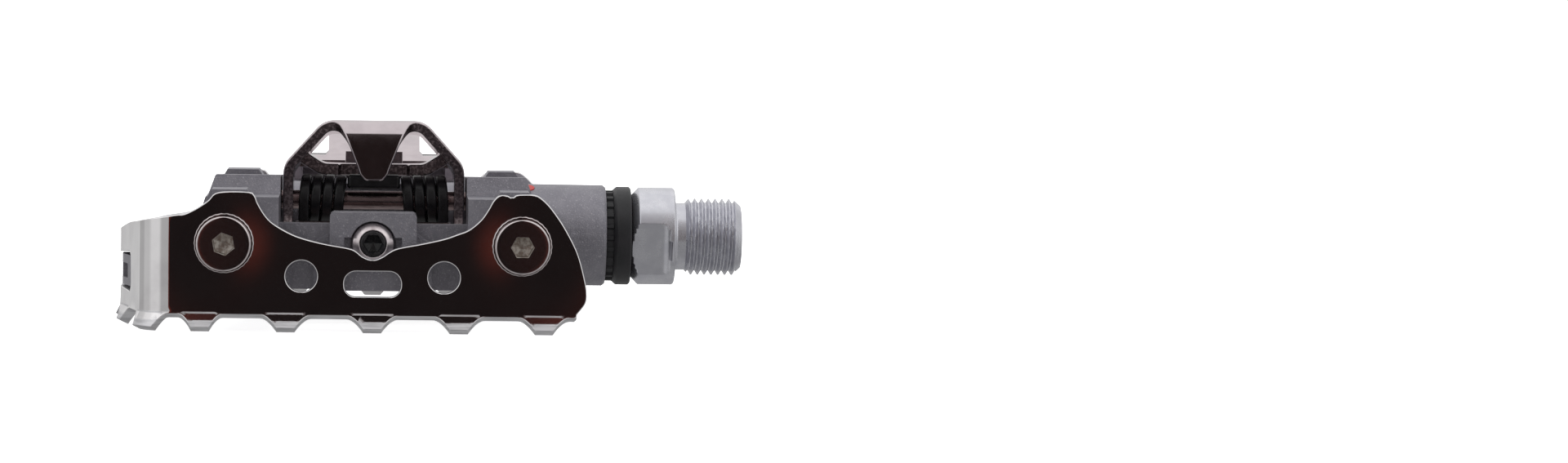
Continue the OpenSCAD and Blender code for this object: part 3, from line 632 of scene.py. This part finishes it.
white = sky.node("Background", None, {0: (1, 1, 1), 1: 1.0})
seen = sky.node("LightPath", None, None, "Is Camera Ray")
both = sky.node("MixShader", None, {0: seen, 1: around, 2: white})
end = world.node_tree.nodes.new("ShaderNodeOutputWorld")
world.node_tree.links.new(both.socket, end.inputs[0])

lens = bpy.data.cameras.new("camera")
lens.lens, lens.sensor_width = studio["lens"], 36
lens.shift_x, lens.shift_y = studio["aside"], studio["up"]
lens.clip_start, lens.clip_end = 0.01, 100
camera = bpy.data.objects.new("camera", lens)
scene.collection.objects.link(camera)
tilt = math.radians(studio["elevation"])
backwards = Vector((0, -math.cos(tilt), math.sin(tilt)))
camera.location = Vector(middle) + backwards * studio["distance"] / 1000
camera.rotation_mode = "QUATERNION"
rolled = Quaternion((0, 0, 1), math.radians(studio["roll"]))
camera.rotation_quaternion = (-backwards).to_track_quat("-Z", "Y") @ rolled
scene.camera = camera
scene.view_settings.view_transform = "Standard"
print("camera, floor and light set")


# the cage is one strip: u runs along it from the open end, v is the height above the fold of its toothed rim;
# half of its bends are listed, each a length and a turn, and the rest mirror them
cageStrip = {"thick": 1.9, "open": 38.0, "rear": -46.0, "fold": -11.5, "flare": 27.0, "foldRadius": 1.0,
             "bends": [(73.8, 0), (7.96, 76), (16.58, 0), (0.73, 14)], "endWall": 49.28, "openStep": 1.95,
             "valley": -0.5, "tip": -3.1, "dish": 0.16, "dishWidth": 4.8, "boltX": 26.3, "boltZ": 0.6,
             "boltHole": 3.3, "roundX": 12.6, "roundZ": -5.1, "roundHole": 2.8, "slotZ": -6.4,
             "slotHalf": (5.02, 2.27), "slotCorner": 2.2, "windowCorner": 0.9}
cageBends = [*cageStrip["bends"], (cageStrip["endWall"], 0), *cageStrip["bends"][::-1]]
cageRun, cageHeading, cageX, cageY = bentLine(cageBends)
cageLength = sum(length for length, turn in cageBends)
openU = cageStrip["open"]
boltRuns = [openU - cageStrip["boltX"], openU + cageStrip["boltX"]]
boltRuns += [cageLength - u for u in boltRuns[::-1]]


def cageSurface(u, v):
    # plan: the strip's line integrated from its heading; section: straight up, or for v < 0 round the fold
    # radius and then out along the flare
    heading = np.interp(u, cageRun, cageHeading)
    x = cageStrip["open"] - np.interp(u, cageRun, cageX)
    y = cageStrip["rear"] + np.interp(u, cageRun, cageY)
    out = np.stack([-np.sin(heading), -np.cos(heading), 0 * u], -1)
    up = np.array([0, 0, 1.0])
    flare, r = math.radians(cageStrip["flare"]), cageStrip["foldRadius"]
    s = np.maximum(-v, 0)
    bend = np.minimum(s / r, flare)
    rest = np.maximum(s - r * flare, 0)
    away = r * (1 - np.cos(bend)) + rest * math.sin(flare)
    down = r * np.sin(bend) + rest * math.cos(flare)
    z = cageStrip["fold"] + np.where(v > 0, v, -down)
    place = np.stack([x, y, z], -1) + away[..., None] * out
    cb, sb = np.cos(bend)[..., None], np.sin(bend)[..., None]
    along = np.stack([-np.cos(heading), np.sin(heading), 0 * u], -1)
    facing, rise = out * cb + up * sb, up * cb - out * sb
    spread = cageStrip["dishWidth"] ** 2
    for centre in boltRuns:  # the sheet is drawn in a little under each bolt head, as a bell curve
        du, dv = u - centre, v - (cageStrip["boltZ"] - cageStrip["fold"])
        dip = cageStrip["dish"] * np.exp(-(du ** 2 + dv ** 2) / (2 * spread)) * (v > 0)
        place = place - dip[..., None] * out
        facing = facing - (dip / spread)[..., None] * (du[..., None] * along + dv[..., None] * rise)
    return place, unit(facing), along, rise


def cageTop(outer, wall):
    # top edge from the open end round to the middle of the end wall: a smooth curve through points that are
    # (x, z) along the straight side, the last of them outer, and (u, z) in wall
    side = [(36.1, -11.4), (37.6, -9.35), (37.8, -7.4), (37.4, -5.1), (36.5, -1.7), (35.5, .8), (33.8, 3.9),
            (32.4, 6), (30.9, 7.9), (29.35, 9.26), (28.1, 9.68), (25.3, 9.62), (24.9, 9.3), (24.1, 9.2),
            (23.6, 9.5), (22.2, 9.5), (21.15, 8.6), (20.3, 7.1), (19, 5.2), (16.9, 3.4), (14.8, 2.54),
            (12.4, 1.7), (8.5, .8), (4.46, 0), (2.9, -.7), (1.6, -1.57), (0, -2.13), (-1.7, -1.6), (-3, -.6),
            (-4.3, -.1), (-8.4, .6), (-12, 1.45), (-14.7, 2.44), (-17.6, 4.1), (-19.1, 5.6), (-20.4, 7.7),
            (-20.9, 8.9), (-22, 9.6), (-27.4, 9.5), (-29, 8.2), (-29.9, 7.5), *outer]
    x, z = np.array(side).T
    straight = cageRun < 98  # up to the end of the second bend, where x still grows
    u = np.interp(openU - x, cageX[straight], cageRun[straight])
    line = np.concatenate([np.stack([u, z], 1), np.array(wall)])
    return smoothLine(line - [0, cageStrip["fold"]], 0.55)


def cageTeeth():
    # lower edge as v(u): the valley, less a tooth at each place, from its flat tip up along hollow flanks
    centres = np.array([7.7, 22.7, 38, 53.3, 68.4, 78.65, 94.1, 109, cageLength / 2])
    tips = np.array([1.6, 1.6, 1.6, 1.6, 1.6, 2.15, 1.6, 1.6, 1.6])  # half the flat tip
    flanks = np.array([2.9, 2.9, 2.9, 2.9, 2.3, 2.4, 2.9, 2.9, 2.9])
    centres = np.concatenate([centres, cageLength - centres[:-1]])
    tips, flanks = np.concatenate([tips, tips[:-1]]), np.concatenate([flanks, flanks[:-1]])
    onFlanks = [centres + side * (tips + k * flanks) for side in (-1, 1) for k in (0, .12, .25, .4, .6, .8)]
    knots = np.sort(np.concatenate([np.linspace(2.3, cageLength - 2.3, 560), *onFlanks]))
    knots = knots[np.concatenate([[True], np.diff(knots) > 0.12])]
    t = np.clip((np.abs(knots[:, None] - centres) - tips) / flanks, 0, 1)
    depth = ((1 - t) ** 1.75).max(1)
    return np.stack([knots, cageStrip["valley"] + (cageStrip["tip"] - cageStrip["valley"]) * depth], 1)


def farSide(line):
    # the same line seen from the strip's other end, its points in reverse
    return np.stack([cageLength - line[::-1, 0], line[::-1, 1]], 1)


rearTop = cageTop([(-31.65, 6.4), (-33.4, 5.6), (-34.8, 5.45), (-37.8, 5), (-41.6, 4.2), (-43.7, 3.4),
                   (-45.3, 2.3)],
                  [(99.2, 1.95), (104, 1.8), (114, 1.5), (cageLength / 2, 1.2)])
frontTop = cageTop([(-31.2, 6.2), (-32.6, 3.4), (-34.4, 1.9), (-37, 1), (-41.6, .4), (-43.7, .35),
                    (-45.3, .3)],
                   [(99.2, .25), (104, .4), (114, .85), (cageLength / 2, 1.2)])
openStep = cageStrip["openStep"]
cageOutline = np.concatenate([rearTop[:-1], farSide(frontTop), [[cageLength - openStep, -0.35]],
                              cageTeeth()[::-1], [[openStep, -0.35]]])

# the end window's upper and lower edges, from its rear corner to the middle of the end wall
windowTop = [(88.9, -2.6), (90.0, -1.75), (99, -2.4), (104, -2.67), (cageLength / 2, -2.67)]
windowLow = [(88.6, -7.6), (89.6, -9.0), (99, -8.6), (104, -8.5), (cageLength / 2, -8.5)]
windowTop, windowLow = (np.array(line) - [0, cageStrip["fold"]] for line in (windowTop, windowLow))
window = np.concatenate([windowLow, farSide(windowLow[:-1]), farSide(windowTop), windowTop[:-1][::-1]])

holes = [circleLoop(openU + side * cageStrip[f"{kind}X"], cageStrip[f"{kind}Z"] - cageStrip["fold"],
                    cageStrip[f"{kind}Hole"]) for kind in ("bolt", "round") for side in (1, -1)]
slotU, slotV = cageStrip["slotHalf"]
slotCentre = [openU, cageStrip["slotZ"] - cageStrip["fold"]]
slotCorners = np.array([(-slotU, -slotV), (slotU, -slotV), (slotU, slotV), (-slotU, slotV)]) + slotCentre
holes.append(evenLoop(slotCorners, cageStrip["slotCorner"], 0.35))
cageHoles = [evenLoop(window, cageStrip["windowCorner"], 0.6), *holes, *[farSide(hole) for hole in holes]]


def cageGrind(u, v):
    # a ground line just below the fold, and ground tooth tips
    return np.maximum((v < -0.1) & (v > -0.4), v < -1.7).astype(float)


cage = sheet("cage_strip", "pedal_body", chrome, cageOutline, cageHoles, cageSurface,
             cageStrip["thick"], front=0.18, back=0.25, spacing=0.95,
             rows=(0.0, -0.16, -0.31, -0.47, -1.6, -1.8, -2.2, -2.6), rough=cageGrind, tipLevel=-1.6,
             node=("cage",))
print("cage made,", len(cage.data.polygons), "faces")


# arch and lip are lengths and turns from the middle out; at the near edge the tongue starts to roll over
claw = {"thick": 1.85, "top": 21.85, "near": -23.7, "slope": math.tan(math.radians(5)), "tongueRadius": 4.8,
        "arch": [(7.24, 0), (3.504, 47.8), (7.46, 0), (2.946, 42.2), (12, 0)], "pinY": -18.0, "pinZ": 7.0,
        "pinHole": 1.81, "lipThick": 2.2, "lipTop": 13.45, "lip": [(8.4, 0), (1.4, -32), (3.0, 0), (0.6, 20)],
        "lipHollow": 12.1, "lipHollowY": 1.6}
archRun, archHeading, archX, archZ = bentLine(claw["arch"])
lipRun, lipHeading, lipX, lipZ = bentLine(claw["lip"])


def clawSurface(u, v):
    # arch section turned by its heading on each side, sloping down towards the front; behind the near edge
    # the tongue rolls over its radius and then hangs straight down
    s, side = np.abs(u), np.sign(u)
    heading = np.interp(s, archRun, archHeading)
    x = side * np.interp(s, archRun, archX)
    ahead = v - claw["near"]
    root = np.sqrt(ahead ** 2 + 0.8)
    fall = claw["slope"] * (ahead + root) / 2
    k = claw["slope"] * (1 + ahead / root) / 2
    q = np.maximum(-ahead, 0)
    r = claw["tongueRadius"]
    roll = np.minimum(q / r, math.pi / 2)
    hang = np.maximum(q - r * math.pi / 2, 0)
    z = claw["top"] - np.interp(s, archRun, archZ) - fall - r * (1 - np.cos(roll)) - hang
    y = np.where(ahead > 0, v, claw["near"] - r * np.sin(roll))
    alongU = np.stack([np.cos(heading), 0 * u, -side * np.sin(heading)], -1)
    alongV = unit(np.stack([0 * u, np.cos(roll), np.sin(roll) - k * np.cos(roll)], -1))
    return np.stack([x, y, z], -1), unit(np.cross(alongU, alongV)), alongU, alongV


def lipSurface(u, v):
    # flat across the middle, its two ends turned up to meet the arch
    s, side = np.abs(u), np.sign(u)
    heading = np.interp(s, lipRun, lipHeading)
    x, z = side * np.interp(s, lipRun, lipX), claw["lipTop"] - np.interp(s, lipRun, lipZ)
    alongU = np.stack([np.cos(heading), 0 * u, -side * np.sin(heading)], -1)
    alongV = np.stack([0 * u, 0 * u + 1, 0 * u], -1)
    return np.stack([x, v, z], -1), unit(np.cross(alongU, alongV)), alongU, alongV


def bothSides(half):
    # an outline given from the middle out and back to the middle, completed by its mirror image
    p = np.array(half, float)
    return np.concatenate([p, np.stack([-p[::-1, 0], p[::-1, 1]], 1)])


clawHalf = [(1.5, -37.25), (2.5, -36.2), (2.9, -35.0), (5.0, -29.6), (6.4, -26.2), (7.2, -25.2),
            (30.4, -25.2), (29.4, -13.4), (22.9, -12.6), (19.4, -9.0), (9, -9.0)]
clawCorners = [.9, .9, 2, 6, 1.2, .5, 1.5, 1.5, 2, 1.2, 1]
clawOutline = evenLoop(bothSides(clawHalf), clawCorners + [1, 1.2, 2, 1.5, 1.5, .5, 1.2, 6, 2, .9, .9], 0.5)
pinRun = 21.15 + 12.26 - claw["pinZ"] - claw["slope"] * 7.2  # along the arch to the height of the pin
pinHoles = [circleLoop(side * pinRun, claw["pinY"], claw["pinHole"]) for side in (-1, 1)]
sheet("claw_arch", "rear_claw", plating, clawOutline, pinHoles, clawSurface, claw["thick"],
      front=0.3, back=0.2, spacing=0.7, node=("rear_claw",))

# the lip's front edge is hollowed by an arc
sweep = np.radians(np.linspace(-41, 41, 25))
hollow = claw["lipHollow"] * np.stack([np.sin(sweep), -np.cos(sweep)], 1) + [0, claw["lipHollowY"]]
lipOutline = [[(-6.6, -14), (-6.0, -12.9), (6.0, -12.9), (6.6, -14), (12.9, -14), (12.9, -7.5), (8.4, -7.5)],
              hollow[::-1], [(-8.4, -7.5), (-12.9, -7.5), (-12.9, -14), (-6.6, -14)]]
lipOutline = evenly(np.concatenate(lipOutline), 0.4)[:-1]
sheet("claw_lip", "rear_claw", plating, lipOutline, [], lipSurface, claw["lipThick"],
      front=0.3, back=0.3, spacing=0.7)
print("rear claw made")


# inner is the gap from the middle to the first turn, outer the coil's radius, start and stop its angles
spring = {"inner": 4.9, "wide": 1.9, "high": 1.8, "pitch": 2.12, "outer": 4.7, "start": 15, "stop": 1170,
          "leg": -2.4, "corner": 0.42, "fixedFrom": 11.6}


def springCoil(name, side, node):
    # section: rounded rectangle; path: a helix about the claw pin that steps outwards, then a leg downwards
    w, h = spring["wide"], spring["high"]
    section, right = roundedLine([(0, 0), (w, 0), (w, h), (0, h)], spring["corner"], True, 4)
    turn = np.radians(np.arange(spring["start"], spring["stop"] + 1, 7.5))
    turn[-1] = math.radians(spring["stop"])
    left = -spring["inner"] - w - spring["pitch"] * (turn - turn[0]) / (2 * math.pi)
    r = spring["outer"] - section[:, 1]
    sn, cs = np.sin(turn)[:, None], np.cos(turn)[:, None]
    coil = np.stack([left[:, None] + section[None, :, 0], claw["pinY"] - r * sn, claw["pinZ"] + r * cs], -1)
    facing = np.stack([right[None, :, 0] + 0 * sn, right[None, :, 1] * sn, -right[None, :, 1] * cs], -1)
    drop = np.array([1.5, 4, 6.5, 8.2, 9.1, claw["pinZ"] - spring["leg"]])[:, None, None]
    leg = coil[-1:] - drop * np.array([0, 0, 1.0])
    points = np.concatenate([coil, leg])
    normals = np.concatenate([facing, np.repeat(facing[-1:], len(leg), 0)])
    rings, count = points.shape[:2]
    caps = np.arange(count)[None]
    points, normals = points.reshape(-1, 3), normals.reshape(-1, 3)
    points[:, 0] *= side
    normals[:, 0] *= side
    faces = [gridFaces(rings, count), caps[:, ::-1], (rings - 1) * count + caps]
    piece = newPiece(name, None, [blackWire], points, faces, normals, node=(node,))
    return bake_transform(piece)


springCoil("left_spring_coil", 1, "left_spring")
springCoil("right_spring_coil", -1, "right_spring")
softCopy("spring_bridge", "spring_bar", "rear_claw", blackWire, 0.6, 4)
print("springs made")


# flat is half the distance across the wrench flats, which lean by tilt and run out along a cutter's circle
spindle = {"tip": -22.4, "journal": 3.0, "shaft": 4.0, "seat": 6.0, "collar": 9.05, "shoulder": 56.1,
           "relief": 6.25, "thread": 58.2, "end": 67.3, "flat": 7.5, "flatFrom": 48.05, "flatTo": 55.4,
           "tilt": 15.6, "runout": 53.4, "cutter": 2.0, "pitch": 1.27, "crest": 7.144, "depth": 0.79}


def subdivided(values, counts):
    # each stretch between neighbouring values cut into equal parts
    parts = [np.linspace(0, 1, n + 1)[1:] * (b - a) + a for a, b, n in zip(values[:-1], values[1:], counts)]
    return np.concatenate([values[:1], *parts])


def spindleBody():
    # turned profile cut by two wrench flats: radius = the smaller of the turned radius and
    # flat distance / cos(angle from the flat); past the run-out that distance rises along the cutter's circle
    tip, shoulder, shaft, collar = (spindle[key] for key in ("tip", "shoulder", "shaft", "collar"))
    journal, seat, relief = (spindle[key] for key in ("journal", "seat", "relief"))
    profile = [(tip, 0), (tip, journal - 0.4), (tip + 0.4, journal), (-11.6, journal), (-11.6, shaft),
               (31.0, shaft), (32.3, seat), (48.1, seat), (48.1, 7.62), (49.4, collar), (55.8, collar),
               (shoulder, collar - 0.3), (shoulder, relief), (shoulder + 2.5, relief), (shoulder + 2.5, 0)]
    radii = [0, .1, .1, .1, .1, .3, .3, .2, .25, .35, .12, .12, .5, .1, 0]
    line, right = roundedLine(profile, radii, False, 6)
    counts = np.maximum(1, np.ceil(np.abs(np.diff(line[:, 0])) / 0.5)).astype(int)
    run, place = subdivided(line[:, 0], counts), subdivided(np.arange(len(line)), counts)
    radius = np.interp(place, np.arange(len(line)), line[:, 1])
    facing = -unit(np.stack([np.interp(place, np.arange(len(line)), right[:, k]) for k in range(2)], 1))
    columns = 512
    angle = np.arange(columns) * 2 * math.pi / columns
    flatAngle = -math.pi + math.radians(spindle["tilt"])  # the rear flat leans down, the front one up
    delta = (angle - flatAngle + math.pi / 2) % math.pi - math.pi / 2
    x = run[1:-1, None]
    past = np.clip((x - spindle["runout"]) / spindle["cutter"], 0, 1)
    distance = spindle["flat"] + spindle["cutter"] * (1 - np.sqrt(1 - past ** 2))
    whole = (x < spindle["flatFrom"]) | (x > spindle["flatTo"])
    distance = np.where(whole, 99.0, distance)  # too far to cut
    cut = distance / np.cos(delta)[None]
    r = np.minimum(radius[1:-1, None], cut)
    spoke = np.stack([0 * angle, np.cos(angle), np.sin(angle)], -1)
    points = np.stack([x + 0 * r, r * np.cos(angle), r * np.sin(angle)], -1)
    normals = facing[1:-1, None, 0:1] * np.array([1.0, 0, 0]) + facing[1:-1, None, 1:2] * spoke[None]
    flatOut = np.stack([0 * angle, np.cos(angle - delta), np.sin(angle - delta)], -1)
    slope = past / np.sqrt(np.maximum(1 - past ** 2, 0.02))
    flatNormal = unit(flatOut[None] - slope[..., None] * np.array([1.0, 0, 0]))
    onFlat = np.clip((radius[1:-1, None] - cut) / 0.06, 0, 1)[..., None]
    normals = unit(normals * (1 - onFlat) + flatNormal * onFlat)
    points = np.concatenate([points.reshape(-1, 3), [[run[0], 0, 0], [run[-1], 0, 0]]])
    normals = np.concatenate([normals.reshape(-1, 3), [[-1, 0, 0], [1, 0, 0]]])
    return newPiece("spindle_shaft", "spindle", [ground], points, poledFaces(len(x), columns),
                    normals, node=("spindle",))


def crankThread():
    # left-hand thread of 20 turns to the inch: depth follows the distance to the nearest crest, measured
    # along the spindle after adding a pitch for each turn; the ends run out along cones
    pitch, rows, columns = spindle["pitch"], 150, 256
    x = np.linspace(spindle["thread"] - 0.6, spindle["end"] + 1.2, rows)[:, None]
    angle = (np.arange(columns) * 2 * math.pi / columns)[None]
    phase = ((x + pitch * angle / (2 * math.pi)) / pitch) % 1
    t = np.abs(phase - 0.5) * 2
    r = spindle["crest"] - spindle["depth"] * np.clip((t - 0.10) / 0.72, 0, 1)
    leadIn = 6.2 + (x - spindle["thread"] + 0.15) * 1.2
    leadOut = spindle["crest"] - np.maximum(x - spindle["end"] + 0.25, 0) * 0.93
    r = np.minimum(r, np.maximum(np.minimum(leadIn, leadOut), 5.7))
    points = np.stack([x + 0 * r, r * np.cos(angle), r * np.sin(angle)], -1).reshape(-1, 3)
    points = np.concatenate([points, [[x[0, 0], 0, 0], [x[-1, 0], 0, 0]]])
    return newPiece("crank_thread", "spindle", [ground], points, poledFaces(rows, columns))


spindleBody()
crankThread()
print("spindle made")


lockRing = {"from": 33.4, "to": 47.9, "bore": 6.95, "inner": 6.3, "shank": 7.9, "neck": 8.05,
            "neckFrom": 43.3, "neckTo": 44.6, "rim": 9.15, "ribs": 24, "ribHeight": 0.4}


def splinedRing():
    # turned ring whose neck has square ribs: radius = neck + rib height where a cosine of the angle is high
    first, last, bore, inner = (lockRing[key] for key in ("from", "to", "bore", "inner"))
    shank, neck, rim = (lockRing[key] for key in ("shank", "neck", "rim"))
    neckFrom, neckTo = lockRing["neckFrom"], lockRing["neckTo"]
    profile = [(first, inner), (first, shank), (neckFrom - 0.1, shank), (neckFrom, neck), (neckTo, neck),
               (neckTo, 8.5), (45.3, rim), (47.6, rim), (last, 8.85), (last, bore), (43.9, bore),
               (43.9, inner)]
    line, right = roundedLine(profile, [.1, .1, .05, .05, .15, .1, .5, .25, .1, .15, .1, .1], True, 6)
    columns = 384
    angle = np.arange(columns) * 2 * math.pi / columns
    rib = np.clip(np.cos(angle * lockRing["ribs"]) * 4 - 1, 0, 1)
    run, radius = line.T
    onNeck = (run > neckFrom - 0.02) & (run < neckTo + 0.15) & (radius > 7.9) & (radius < 8.45)
    r = np.minimum(radius[:, None] + lockRing["ribHeight"] * onNeck[:, None] * rib[None], rim)
    points = np.stack([run[:, None] + 0 * r, r * np.cos(angle), r * np.sin(angle)], -1).reshape(-1, 3)
    return newPiece("lock_ring_splined", "pedal_body", [resin], points,
                    [gridFaces(len(line), columns, True)], node=("lock_ring",))


splinedRing()

# profiles as (place along the spindle, radius)
seal = {"lip": 6.06, "waist": 6.35, "outer": 6.9, "soft": 0.12}
sealProfile = [(43.95, seal["outer"]), (43.95, seal["lip"]), (44.7, seal["lip"]), (45.0, seal["waist"]),
               (46.4, seal["waist"]), (46.7, seal["lip"]), (48.05, seal["lip"]), (48.05, 6.5),
               (47.7, seal["outer"])]
turned("seal_lip", "pedal_body", rubber, sealProfile, seal["soft"], closed=True,
       node=("dust_seal",))

endCap = {"face": -30.35, "flange": 8.4, "plug": 7.56, "inner": 6.2, "plugTo": -24}
capProfile = [(endCap["face"], 0), (endCap["face"], 7.4), (-29.9, endCap["flange"]),
              (-29.45, endCap["flange"]), (-29.45, endCap["plug"]), (endCap["plugTo"], endCap["plug"]),
              (endCap["plugTo"], endCap["inner"]), (-28.8, endCap["inner"]), (-28.8, 0)]
turned("end_cap_dome", "pedal_body", resin, capProfile, [0, .4, .25, .1, .1, .1, .1, .2, 0],
       node=("end_cap",))
print("ring, seal and cap made")


def hexScrew(name, body, materials, centre, axis, rings, across, turn, deep, columns, node):
    # rings are (along, radius); after the mouth the radius follows a hexagon: half its width / cos(angle from
    # a flat); the second material is the socket's
    along, side, up = (np.array(v, float) for v in axes[axis])
    angle = np.arange(columns) * 2 * math.pi / columns
    off = (angle - math.radians(turn) + math.pi / 6) % (math.pi / 3) - math.pi / 6
    hexagon = across / 2 / np.cos(off)
    x, radius = np.array(rings, float).T
    bevel, bottom = 0.16, 0.35  # depths of the mouth's bevel and of the drill's cone
    socketRings = np.array([1.07, 0.99, 0.99, 0.96, 0.2])[:, None] * hexagon
    socketRun = x[-1] - np.array([0.0, bevel, deep - 0.04, deep, deep + bottom])
    r = np.concatenate([np.repeat(radius[:, None], columns, 1), socketRings])
    x = np.concatenate([x, socketRun])
    spoke = np.cos(angle)[:, None] * side + np.sin(angle)[:, None] * up
    points = (x[:, None, None] * along + r[..., None] * spoke[None]).reshape(-1, 3)
    points = np.concatenate([points, [x[0] * along, (x[-1] - 0.1) * along]]) + np.array(centre, float)
    inSocket = np.repeat(np.arange(len(x) - 1) >= len(rings), columns).astype(int)
    kinds = [inSocket, np.zeros(columns), np.ones(columns)]
    return newPiece(name, body, materials, points, poledFaces(len(x), columns), kinds=kinds,
                    node=node)


def arcRings(x, r, radius, first, last, steps=5):
    # a quarter round of a screw's rim: centre + radius * (sin(angle), cos(angle))
    a = np.radians(np.linspace(first, last, steps))
    return [(x + radius * math.sin(t), r + radius * math.cos(t)) for t in a]


cageBolt = {"head": 4.83, "high": 2.3, "shank": 3.0, "length": 13.2, "seat": 46.7, "across": 3.4, "deep": 2.3}
boltHead, boltHigh, boltShank = (cageBolt[key] for key in ("head", "high", "shank"))
boltRings = [(-cageBolt["length"], boltShank - 0.5), (0.5 - cageBolt["length"], boltShank),
             (-0.02, boltShank), (0, boltShank + 0.1), (0, 4.6), (0.02, 4.7),
             *arcRings(0.2, boltHead - 0.2, 0.2, -60, 0),
             *arcRings(boltHigh - 0.26, boltHead - 0.26, 0.26, 0, 80, 6),
             (boltHigh, 4.5), (boltHigh, 3.9), (boltHigh, 2.2)]
washer = {"from": 46.02, "to": 46.68, "bore": 3.12, "outer": 5.25, "teeth": 30, "wave": 0.03}
boltPlaces = [(-1, -1, 10), (1, -1, 30), (-1, 1, 52), (1, 1, 41)]  # side, rear or front, degrees turned


def serratedWasher(name, x, sign):
    # flat ring whose rim waves with its teeth: radius = outer + wave * cos(teeth * angle)
    columns = 240
    angle = np.arange(columns) * 2 * math.pi / columns
    profile = [(washer[along], washer[radius]) for along, radius in
               (("from", "bore"), ("from", "outer"), ("to", "outer"), ("to", "bore"))]
    line, right = roundedLine(profile, [.05, .12, .16, .05], True, 5)
    wave = washer["wave"] * np.cos(washer["teeth"] * angle)[None] * (line[:, 1:2] > 4.5)
    r = line[:, 1:2] + wave
    cosine, sine, z = np.cos(angle), np.sin(angle), cageStrip["boltZ"]
    points = np.stack([x + r * cosine, sign * line[:, 0:1] + 0 * r, z + r * sine], -1).reshape(-1, 3)
    normals = np.stack([right[:, 1:2] * cosine, sign * right[:, 0:1] + 0 * r, right[:, 1:2] * sine], -1)
    return newPiece(name, "pedal_body", [nickel], points,
                    [gridFaces(len(line), columns, True)], normals.reshape(-1, 3), node=("serrated_washers",))


for i, (side, sign, turn) in enumerate(boltPlaces, 1):
    centre = (side * cageStrip["boltX"], sign * cageBolt["seat"], cageStrip["boltZ"])
    hexScrew(f"cage_bolt_{i}", "pedal_body", [nickel, socketSteel], centre,
             "-y" if sign < 0 else "y", boltRings, cageBolt["across"], turn, cageBolt["deep"], 144,
             ("cage_bolts",))
for i, (side, sign, turn) in enumerate(boltPlaces, 1):
    serratedWasher(f"washer_{i}", side * cageStrip["boltX"], sign)

tension = {"z": 0.45, "shank": 2.0, "head": 2.28, "across": 3.0, "deep": 2.0, "bore": 2.36, "collar": 3.7}
tensionRings = [(18.05, tension["shank"] - 0.3), (18.4, tension["shank"]), (33.5, tension["shank"]),
                (33.52, tension["head"]), *arcRings(36.05, tension["head"] - 0.2, 0.2, 0, 80), (36.26, 1.95),
                (36.26, 1.89)]
hexScrew("tension_bolt_black", "tension_bolt", [blackScrew] * 2, (0, -5, tension["z"]),
         "-y", tensionRings, tension["across"], 30, tension["deep"], 96, ("tension_bolt",))
collarProfile = [(38.5, tension["bore"]), (38.5, tension["collar"]), (40.6, tension["collar"]), (41.25, 2.5),
                 (41.1, tension["bore"])]
turned("tension_collar_ring", "pedal_body", collarChrome, collarProfile,
       [.1, .15, .25, .1, .05], (0, 0, tension["z"]), "-y", 96, True, ("tension_collar",))

clawScrew = {"x": 9, "y": 31.2, "shank": 2.5, "head": 4.1, "seat": 10.97, "top": 13.1, "across": 3.0,
             "deep": 1.8}
clawScrewRings = [(1.0, clawScrew["shank"] - 0.4), (1.4, clawScrew["shank"]), (10.95, clawScrew["shank"]),
                  (clawScrew["seat"], clawScrew["shank"] + 0.1), (clawScrew["seat"], 3.95),
                  *arcRings(11.15, clawScrew["head"] - 0.18, 0.18, -60, 0),
                  *arcRings(clawScrew["top"] - 0.55, clawScrew["head"] - 0.55, 0.55, 0, 80, 6), (13.07, 3.2),
                  (13.07, 1.9)]
for i, side in enumerate((-1, 1), 1):
    hexScrew(f"front_claw_screw_{i}", "pedal_body", [nickel, socketSteel],
             (side * clawScrew["x"], clawScrew["y"], 0), "z", clawScrewRings, clawScrew["across"], 0,
             clawScrew["deep"], 96, ("front_claw_screws",))
print("screws made")

# the casting, the front claw and the hidden nuts keep their CAD shapes, with softer edges
softCopy("pedal_body", "body_casting", "pedal_body", casting, 0.32, 3)
softCopy("front_claw", "front_claw_sheet", "pedal_body", frontPlating, 0.22, 3)
softCopy("tension_nut", "tension_nut_plate", "tension_nut", pinSteel, 0.2, 2)
softCopy("lock_nut", "lock_nut_hex", "spindle", bearing, 0.15, 2)
keptShapes = {"side_mark": redPaint, "claw_pin": pinSteel, "inner_balls": bearing, "outer_balls": bearing,
              "bearing_sleeve": bearing, "outer_cone": bearing, "tab_washer": bearing}
for node, material in keptShapes.items():
    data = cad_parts[node].data
    for k in range(len(data.materials)):
        data.materials[k] = material
print("casting and hidden parts finished")

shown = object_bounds()
for label, box in (("size", shown), ("cad", cadBox)):
    print(label, [round((b - a) * 1000, 2) for a, b in zip(*box)])
